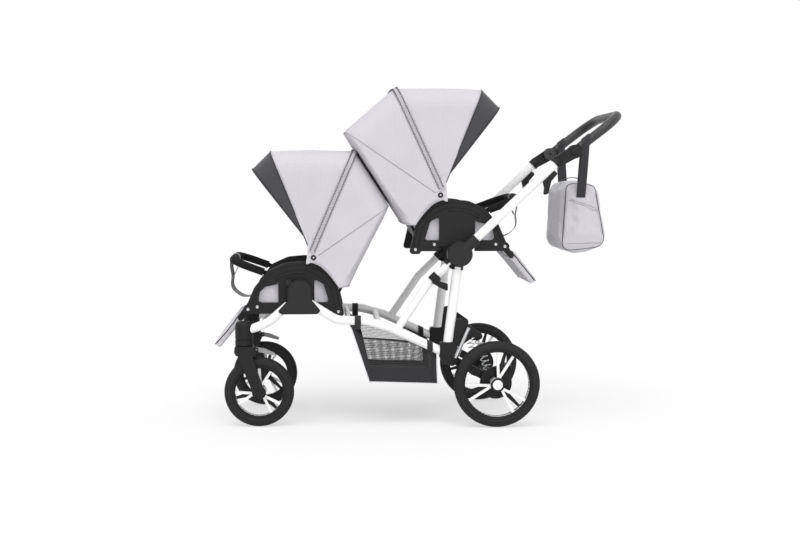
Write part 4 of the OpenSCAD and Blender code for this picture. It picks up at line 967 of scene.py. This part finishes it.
class PRAM_OT_bag(bpy.types.Operator):
    """Sews the bag, its pocket, piping, grab loop and straps."""
    bl_idname = "pram.bag"
    bl_label = "Bag"

    def execute(self, context):
        self.seams(self.shell())
        self.straps()
        return {"FINISHED"}

    def shell(self):
        stations = [(-share, grow) for share, grow in BAG_SWELL] + BAG_SWELL[-2::-1]
        rings = [bag_ring(grow, share * (BAG_HALF - 5)) for share, grow in stations]
        count = len(rings[0])
        lines = list(zip(*rings))
        bm = surface_grid(count, 32, lambda s, t: along(lines[round(s * count) % count], t))
        bmesh.ops.remove_doubles(bm, verts=bm.verts, dist=0.1 * MM)
        bmesh.ops.holes_fill(bm, edges=[e for e in bm.edges if e.is_boundary])
        face_out(bm)

        def form(point):
            slump = crease(point, 0.07, 2.6, 2.0) + crease(point, 0.03, 0.8, 5.0)
            out = Vector((point.x - side_point(*BAG_MID).x, 0.4 * point.y, 0)).normalized()
            return point + out * slump * MM

        return stuffed("bag_shell", bm, "bag", "bag_body", 8, form, 6)

    def seams(self, bag):
        rings = [laid_on(bag, bag_ring(0.99, side * BAG_PIPING_Y, 14), 0.6) for side in (-1, 1)]
        piping("bag_piping", rings, dark_binding(), "bag", "visor_cloth", BAG_PIPING_D, True)
        lines = []
        for side in (-1, 1):
            for a, b in BAG_SEAMS:
                span = [side_point(*p, side * BAG_SEAM_Y) for p in spread(Vector(a), Vector(b), 16)]
                lines.append(laid_on(bag, span, 0.2))
        piping("bag_stitching", lines, seam_thread(), "bag", "grey_cloth", BAG_SEAM_D)
        rise = [GRAB_RISE * swell(t) for t in spread(0, 1, 12)]
        grab = [side_point(p.x, p.y + up) for p, up in zip(spread(*GRAB_ENDS, 12), rise)]
        widths = [Vector((0, GRAB_W * MM, 0))] * len(grab)
        ribbon("bag_grab_loop", grab, widths, 2.4, black_webbing(), "bag", "webbing")

    def straps(self):
        """Webbing up from the bag's ends, over the grip and down again."""
        lean = polar(1, HANDLE_DIR)
        turns = [polar(STRAP_CLEAR, a) for a in range(-10, 191, 10)]
        loop = [Vector((HANDLE_Y - p.x, p.y / lean.x)) for p in turns]
        inner, outer = Vector((BAG_HALF + 1.2, -STRAP_DROP)), Vector((BAG_HALF + 3.4, 6 - STRAP_DROP))
        flat = spread(inner, loop[0], 10)[:-1] + loop + spread(loop[-1], outer, 10)[1:]
        level, slope = Vector((1, 0, 0)), Vector((lean.x, 0, lean.y))
        widths = [mix(level, slope, clamp(1 + p.y / STRAP_DROP)).normalized() * STRAP_W * MM for p in flat]
        for name, side in SIDES.items():
            path = [side_point(STRAP_AT.x, STRAP_AT.y + p.y, side * p.x) for p in flat]
            piece = ribbon(f"bag_strap_{name}", path, widths, 2, black_webbing(), None, "webbing")
            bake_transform(piece)
            if name == "left":
                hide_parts("bag_straps")


# Basket: places in mm from the rear axle and the floor

FRAME_Y = 218
BASKET_HALF = 211
BASKET_MIDDLE = (-340, 260)
BASKET_FOOT = ((0, Vector((-440, 149))), (0.15, Vector((-426, 149))), (1, Vector((-201, 141))))
BASKET_RIM = ((0, Vector((-506, 348.5))), (0.15, Vector((-463, 304))), (0.72, Vector((-288, 289))),
              (0.87, Vector((-242, 265))), (1, Vector((-205, 246.5))))
WINDOW = (0.15, 0.93)
BAND_H = {-1: 55, 1: 20}
NET_L, NET_H, THREAD_D = 235, 127, 2.1
RIM_D, EDGE_D = 7, 3.6
LOOPS = ((-480.5, 367.8, 1.75), (-229.5, 277.7, 24.8))
LOOP_R, LOOP_W, LOOP_TAIL, STUD_DROP = 17.3, 22, 32, 25
STUD = [(0, 2.4), (2.6, 2.2), (4.6, 1.2), (5.2, -1)]


def basket_wall(side, s, t, bow=0.0):
    """A point of a side wall: s from front to back, t from the floor to the rim, bowed in by some mm."""
    flat = mix(between(BASKET_FOOT, s), between(BASKET_RIM, s), t)
    return side_point(flat.x, flat.y + 2, side * (BASKET_HALF - bow))


def band_top(side, s):
    """How far up a wall its lower cloth band reaches, as a share."""
    return BAND_H[side] / (between(BASKET_RIM, s).y - between(BASKET_FOOT, s).y)


class PRAM_OT_basket(bpy.types.Operator):
    """Hangs the basket: black cloth panels, net sides, bindings and loops."""
    bl_idname = "pram.basket"
    bl_label = "Basket"

    def execute(self, context):
        self.ends()
        for name, side in SIDES.items():
            self.wall(name, side)
        self.loops()
        return {"FINISHED"}

    def panel(self, name, columns, rows, at):
        grid = (columns, rows, at, side_point(*BASKET_MIDDLE))
        look = (black_cloth(), "chassis", "basket_cloth")
        return sewn_panel(name, grid, look, 1.6 * MM)

    def ends(self):
        """The floor, front and rear as three panels that sag between the side walls."""
        toe, heel = BASKET_FOOT[0][1], BASKET_FOOT[-1][1]
        runs = {
            "floor": (toe, heel, Vector((0, -1.5))),
            "front": (BASKET_RIM[0][1], toe, Vector((7, 0))),
            "rear": (heel, BASKET_RIM[-1][1], Vector((-6, 0))),
        }
        for name, (a, b, bulge) in runs.items():
            def at(s, t):
                flat = mix(a, b, s) + bulge * swell(s, t)
                point = side_point(flat.x, flat.y + 2, mix(-BASKET_HALF, BASKET_HALF, t))
                return point + Vector((0, 0, 1)) * swell(s, t) * crease(point, 0.06, 2.0, 4.0) * MM
            piece = self.panel(f"basket_{name}", 30, 48, at)
            if name == "floor":
                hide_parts("basket")

    def wall(self, name, side):
        """The cloth bands round a net window, the bound rim and the pale piping below."""
        first, last = WINDOW
        for key, a, b in (("front", 0, first), ("low", first, last), ("rear", last, 1)):
            def at(s, t):
                share = mix(a, b, s)
                return basket_wall(side, share, t * band_top(side, share) if key == "low" else t)
            self.panel(f"basket_{key}_band_{name}", 20, 12, at)
        self.net(name, side)
        black = binding("Black", colours().webbing)
        pale = binding("Pale", tinted(colours().cloth, 1.4))
        rim = [basket_wall(side, s, 1, 0.5) for s in spread(0, 1, 40)]
        piping(f"basket_rim_{name}", [rim], black, "chassis", "basket_cloth", RIM_D)
        round_edge = [(0, t) for t in spread(1, 0, 16)] + [(s, 0) for s in spread(0, 1, 24)[1:]]
        round_edge += [(1, t) for t in spread(0, 1, 8)[1:-1]]
        edge = [basket_wall(side, s, t, -0.3) for s, t in round_edge]
        piping(f"basket_piping_{name}", [edge], pale, "chassis", "basket_cloth", EDGE_D)

    def net(self, name, side):
        """A knotted net with real holes in the window of a side wall."""
        def at(s, t):
            share = mix(*WINDOW, s)
            return basket_wall(side, share, mix(band_top(side, share) * 0.96, 1, t), 1 + 3 * swell(s, t))

        pitch = sizes().net_pitch / MM
        bm = surface_grid(round(NET_L / pitch), round((NET_H - BAND_H[side]) / pitch), at)
        thread = even_thread("Knotted_Net_Grey", tinted(colours().cloth, 0.1), 0.6)
        piece = finish_piece(f"basket_net_{name}", bm, thread, "chassis", "basket_cloth")
        modifier(piece, "WIREFRAME", thickness=THREAD_D * MM, use_replace=True, use_even_offset=False)
        cut_size(at, self.shown_area(piece))

    def shown_area(self, piece):
        """Half the skin of a piece as its modifiers leave it."""
        mesh = shown_mesh(piece)
        area = sum(face.area for face in mesh.polygons) / 2
        bpy.data.meshes.remove(mesh)
        return area

    def loops(self):
        """Cloth loops with a press stud that carry the basket on the frame."""
        studs = bmesh.new()
        for name, side in SIDES.items():
            for number, (x, z, slope) in enumerate(LOOPS):
                way = polar(LOOP_W, -slope)
                tails = [side_point(x, z - LOOP_TAIL, side * (BASKET_HALF + d)) for d in (-0.4, 1.6)]
                turns = [polar(LOOP_R, a) for a in range(-40, 221, 20)]
                over = [side_point(x, z + p.y, side * (FRAME_Y - p.x)) for p in turns]
                path = tails[:1] + over + tails[1:]
                widths = [Vector((way.x, 0, way.y)) * MM] * len(path)
                ribbon(f"basket_loop_{name}_{number}", path, widths, 1.6, black_cloth(), "chassis",
                       "basket_cloth")
                lathe(studs, STUD, side_point(x, z - STUD_DROP, side * (BASKET_HALF + 2)), side)
        finish_piece("basket_studs", studs, black_moulding(), "chassis", "black_plastic")


# Wheels

WHEELS = {"front": (242, 40), "rear": (300, 44)}
TYRE_H, BLOCKS = 27, 60
HUB_R, HUB_HALF, CAP_R, FIN_OUT, RIM_T = 24, 24, 17.2, 9.3, 11.05


def wheel_centre(node):
    low, high = (Vector(corner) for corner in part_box(node))
    return (low + high) / 2


def tyre_point(d, w, s, t):
    """A point of a tyre in its own frame: s round the wheel, t from wall to wall, over the tread's blocks."""
    phi = math.pi * (1 - t)
    y = w / 2 * math.copysign(abs(math.cos(phi)) ** 0.8, math.cos(phi))
    tread = sizes().tread_h / MM
    r = d / 2 - TYRE_H + (TYRE_H - tread) * math.sin(phi) ** 0.65
    rib = abs(y) / w
    shift = 0.5 if rib > 0.14 else 0.0
    cut = abs((s * BLOCKS + shift + 0.25 * rib) % 1 - 0.5) < 0.1
    ring = 0.11 < rib < 0.17
    if rib < 0.36 and not cut and not ring:
        r += tread
    a = 2 * math.pi * s
    return Vector((r * math.cos(a), y, r * math.sin(a))) * MM


class PRAM_OT_tyres(bpy.types.Operator):
    """Moulds the four tyres with their tread."""
    bl_idname = "pram.tyres"
    bl_label = "Tyres"

    def execute(self, context):
        rubber = tyre_rubber("Moulded_Tyre_Rubber")
        for place, (d, w) in WHEELS.items():
            for name in SIDES:
                node = f"{place}_tyre_{name}"
                centre = wheel_centre(node)
                bm = surface_grid(360, 44, lambda s, t: centre + tyre_point(d, w, s, t))
                bmesh.ops.remove_doubles(bm, verts=bm.verts, dist=0.05 * MM)
                bmesh.ops.bridge_loops(bm, edges=[e for e in bm.edges if e.is_boundary])
                face_out(bm)
                piece = finish_piece(f"{place}_tread_{name}", bm, rubber, f"{place}_wheel_{name}", "tyre")
                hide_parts(node)
        return {"FINISHED"}


# Handle and fastenings

SEAT_OUT, GRIP_FROM = 196, 44
STITCH_R, STITCH_REACH = 0.7, 1.3
SCREWS = ((-86, -190), (-20, -172), (196, -172), (228, -180))
ARCH_RIB = ((-92, -176), (-74, -104), (-28, -50), (34, -25), (98, -31), (148, -56), (194, -112), (222, -168))
ARCH_MIDDLE = Vector((64, -200))
RIBS, RIB_D = ((1, 0, None), (0.9, 0, -12), (0.83, 17, -12)), 4.4
SPRING_FOOT, SPRING_HEAD = Vector((-22.7, 183.8)), Vector((-62, 306))
SPRING_END = 7.3
COIL_R, WIRE_D, TURNS, TURN_STEPS = 13.2, 3.6, 7, 24


def grip_path(step):
    """Places and sideways shares along the middle of the handle's grip, from one side round to the other."""
    bend = HANDLE_REACH - HANDLE_BEND
    flat = [Vector((GRIP_FROM, -HANDLE_Y)), Vector((bend, -HANDLE_Y))]
    flat += [Vector((bend, HANDLE_BEND - HANDLE_Y)) + polar(HANDLE_BEND, a) for a in range(-81, 1, 9)]
    flat += [Vector((p.x, -p.y)) for p in reversed(flat)]
    spans = [(b - a).length for a, b in zip(flat, flat[1:])]
    knots = [(sum(spans[:i]), p) for i, p in enumerate(flat)]
    spots = [between(knots, i * step) for i in range(int(sum(spans) / step) + 1)]
    return [(TILT + polar(1, HANDLE_DIR) * p.x, p.y) for p in spots]


class PRAM_OT_grip_stitching(bpy.types.Operator):
    """Sews the pale stitches along the top of the leatherette grip."""
    bl_idname = "pram.grip_stitching"
    bl_label = "Grip stitching"

    def execute(self, context):
        bm = bmesh.new()
        up = polar(1, HANDLE_DIR + 90) * (GRIP_R + 0.2)
        spots = [side_point(*(at + up), y) for at, y in grip_path(sizes().stitch / MM / 2)]
        for a, b in zip(spots[::2], spots[1::2]):
            tube(bm, spread(a, a + (b - a) * STITCH_REACH, 2), STITCH_R * MM, 6)
        face_out(bm)
        thread = even_thread("Seam_Thread_Pale", colours().cloth)
        finish_piece("grip_stitches", bm, thread, "handle", "grip_leatherette")
        return {"FINISHED"}


class PRAM_OT_screws(bpy.types.Operator):
    """Sets the zinc screws and the moulded ribs on both seats' side frames."""
    bl_idname = "pram.screws"
    bl_label = "Screws and ribs"

    def execute(self, context):
        r = sizes().screw_d / MM / 2
        head = [(0, 0.4), (r * 0.45, 0.4), (r * 0.5, 1.6), (r * 0.8, 1.8), (r, 0.8), (r, -0.5)]
        for unit in UNITS:
            bm = bmesh.new()
            for spot in SCREWS:
                for side in (-1, 1):
                    lathe(bm, head, seat_point(unit, *spot, side * SEAT_OUT), side)
            finish_piece(f"{unit}_seat_screws", bm, zinc(), f"{unit}_seat", "steel")
            ribs = []
            for share, first, last in RIBS:
                flat = [mix(ARCH_MIDDLE, Vector(p), share) for p in ARCH_RIB]
                for side in (-1, 1):
                    path = smooth_path([seat_point(unit, *p, side * (SEAT_OUT - 0.6)) for p in flat])
                    ribs.append(path[first:last])
            piping(f"{unit}_arch_ribs", ribs, black_moulding(), f"{unit}_seat", "black_plastic", RIB_D)
        return {"FINISHED"}


class PRAM_OT_springs(bpy.types.Operator):
    """Winds the shock springs as fixed coils; here they don't shorten as the swing arms rise."""
    bl_idname = "pram.springs"
    bl_label = "Springs"

    def execute(self, context):
        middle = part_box("shock_springs")[1][1] / MM - COIL_R - WIRE_D / 2
        up = (SPRING_HEAD - SPRING_FOOT).normalized()
        across = Vector((up.y, -up.x))
        low, high = SPRING_FOOT + up * SPRING_END, SPRING_HEAD - up * SPRING_END
        coils = [[], []]
        for i, point in enumerate(spread(low, high, TURN_STEPS * TURNS)):
            turn = polar(COIL_R, 360 / TURN_STEPS * i)
            flat = point + across * turn.x
            for coil, side in zip(coils, (-1, 1)):
                coil.append(side_point(*flat, side * (middle + turn.y)))
        piece = piping("shock_coils", coils, zinc(), None, "steel", WIRE_D)
        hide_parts("shock_springs")
        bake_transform(piece)
        return {"FINISHED"}


# Finishes of the frame's own parts


class PRAM_OT_finishes(bpy.types.Operator):
    """Gives every part of the frame its finish."""
    bl_idname = "pram.finishes"
    bl_label = "Finishes"

    def execute(self, context):
        by_slot = {
            "white_paint": powder_coat("Powder_Coated_Aluminium_White"),
            "black_plastic": black_moulding(),
            "charcoal_plastic": moulded("Moulded_Nylon_Charcoal", colours().cover),
            "grey_plastic": moulded("Moulded_Nylon_Grey", linear("8e8e90")),
            "steel": zinc(),
            "bow_steel": plated_steel("Blackened_Spring_Steel", "4a4a4c", 0.42),
            "grip_leatherette": pebbled_leatherette("Pebbled_Leatherette_Black"),
            "bumper_foam": skinned_foam("Skinned_Foam_Black"),
            "tyre": tyre_rubber("Moulded_Tyre_Rubber"),
            "webbing": black_webbing(),
            "grey_cloth": hood_cloth(),
            "visor_cloth": dark_cloth(),
            "basket_cloth": black_cloth(),
        }
        for part in frame["record"]["subparts"]:
            piece = frame["nodes"][part["node"]]
            piece.data.materials.clear()
            piece.data.materials.append(by_slot[part["material_slot"]])
        for place, (d, _) in WHEELS.items():
            for name, side in SIDES.items():
                self.two_tone(place, name, side, d)
        return {"FINISHED"}

    def two_tone(self, place, name, side, d):
        """White fins and cap on a black rim, told apart by where a face lies."""
        piece = frame["nodes"][f"{place}_rim_{name}"]
        piece.data.materials.append(gloss_plastic("Polished_Polypropylene_White"))
        axle = wheel_centre(f"{place}_tyre_{name}")
        inner = d / 2 - TYRE_H - RIM_T
        for face in piece.data.polygons:
            off = (face.center - axle) / MM
            r = math.hypot(off.x, off.z)
            out = side * off.y
            fin = HUB_R - 0.2 < r < inner + 0.2 and 0.05 < out < FIN_OUT
            cap = r < CAP_R and out > HUB_HALF + 0.05
            face.material_index = 1 if fin or cap else 0


# Stage

LENS, SENSOR = 56.2, 36
CAMERA_AT, CAMERA_TURN = (-0.31674, -4.5366, 0.8599), (math.pi / 2 - 0.0706, 0, -0.0569)
SUNS = (("Soft_Sun", 1.5, 26, -18), ("Fill_Sun", 0.7, 76, 12))
SKY_LIGHT, FLOOR_SHADE, FLOOR_GLOW, FLOOR_HALF = 0.72, 0.86, 0.55, 30
WHITE = (1, 1, 1, 1)


class PRAM_OT_stage(bpy.types.Operator):
    """Sets up the camera, the soft light and the pale floor."""
    bl_idname = "pram.stage"
    bl_label = "Stage"

    def execute(self, context):
        scene = context.scene
        scene.view_settings.view_transform = "Standard"
        lens = bpy.data.cameras.new("Camera")
        lens.lens, lens.sensor_width, lens.sensor_fit = LENS, SENSOR, "HORIZONTAL"
        scene.camera = self.placed("Camera", lens, CAMERA_TURN)
        scene.camera.location = CAMERA_AT
        for name, energy, tilt, turn in SUNS:
            sun = bpy.data.lights.new(name, "SUN")
            sun.energy, sun.angle = energy, math.radians(50)
            self.placed(name, sun, (math.radians(tilt), 0, math.radians(turn)))
        self.sky(scene)
        self.floor()
        return {"FINISHED"}

    def placed(self, name, data, turn=(0, 0, 0)):
        made = bpy.data.objects.new(name, data)
        made.rotation_euler = turn
        bpy.context.scene.collection.objects.link(made)
        return made

    def seen(self, tree):
        """1 where the camera, a reflection or a clear part looks, and 0 for the light itself."""
        rays = add(tree, "LightPath").outputs
        direct = add(tree, "Math", {0: rays["Is Camera Ray"], 1: rays["Is Glossy Ray"]}, operation="ADD")
        return add(tree, "Math", {0: direct.outputs[0], 1: rays["Is Transmission Ray"]},
                   operation="ADD", use_clamp=True).outputs[0]

    def sky(self, scene):
        world = scene.world or bpy.data.worlds.new("Sky")
        scene.world = world
        world.use_nodes = True
        tree = world.node_tree
        tree.nodes.clear()
        light, white = [add(tree, "Background", {"Color": WHITE, "Strength": strength}).outputs[0]
                        for strength in (SKY_LIGHT, 1.0)]
        both = add(tree, "MixShader", {0: self.seen(tree), 1: light, 2: white})
        add(tree, "OutputWorld", {"Surface": both.outputs[0]})

    def floor(self):
        bm = bmesh.new()
        bmesh.ops.create_grid(bm, x_segments=1, y_segments=1, size=FLOOR_HALF)
        mesh = bpy.data.meshes.new("Floor")
        bm.to_mesh(mesh)
        bm.free()
        paper = bpy.data.materials.new("Studio_Paper_White")
        paper.use_nodes = True
        tree = paper.node_tree
        tree.nodes.clear()
        matt = add(tree, "BsdfDiffuse", {"Color": (FLOOR_SHADE, FLOOR_SHADE, FLOOR_SHADE, 1)})
        white = add(tree, "Emission", {"Color": WHITE, "Strength": 1.0})
        glow = add(tree, "Math", {0: self.seen(tree), 1: FLOOR_GLOW}, operation="MULTIPLY")
        both = add(tree, "MixShader", {0: glow.outputs[0], 1: matt.outputs[0], 2: white.outputs[0]})
        add(tree, "OutputMaterial", {"Surface": both.outputs[0]})
        mesh.materials.append(paper)
        self.placed("Floor", mesh)


STEPS = (PRAM_OT_stage, PRAM_OT_finishes, PRAM_OT_hoods, PRAM_OT_hood_trim, PRAM_OT_pads,
         PRAM_OT_bumper_straps, PRAM_OT_bag, PRAM_OT_basket, PRAM_OT_tyres, PRAM_OT_grip_stitching,
         PRAM_OT_screws, PRAM_OT_springs)


class PRAM_PT_panel(bpy.types.Panel):
    bl_label = "Pram"
    bl_idname = "PRAM_PT_panel"
    bl_space_type = "VIEW_3D"
    bl_region_type = "UI"
    bl_category = "Pram"

    def draw(self, context):
        for group in (context.scene.pram_colours, context.scene.pram_sizes):
            for key in group.bl_rna.properties.keys():
                if key not in ("rna_type", "name"):
                    self.layout.prop(group, key)
        for step in STEPS:
            self.layout.operator(step.bl_idname)


CLASSES = (PramColours, PramSizes) + STEPS + (PRAM_PT_panel,)


def register():
    for cls in CLASSES:
        bpy.utils.register_class(cls)
    bpy.types.Scene.pram_colours = bpy.props.PointerProperty(type=PramColours)
    bpy.types.Scene.pram_sizes = bpy.props.PointerProperty(type=PramSizes)


def unregister():
    del bpy.types.Scene.pram_sizes
    del bpy.types.Scene.pram_colours
    for cls in reversed(CLASSES):
        bpy.utils.unregister_class(cls)


def main():
    register()
    for step in STEPS:
        group, name = step.bl_idname.split(".")
        getattr(getattr(bpy.ops, group), name)()


if __name__ == "__main__":
    main()
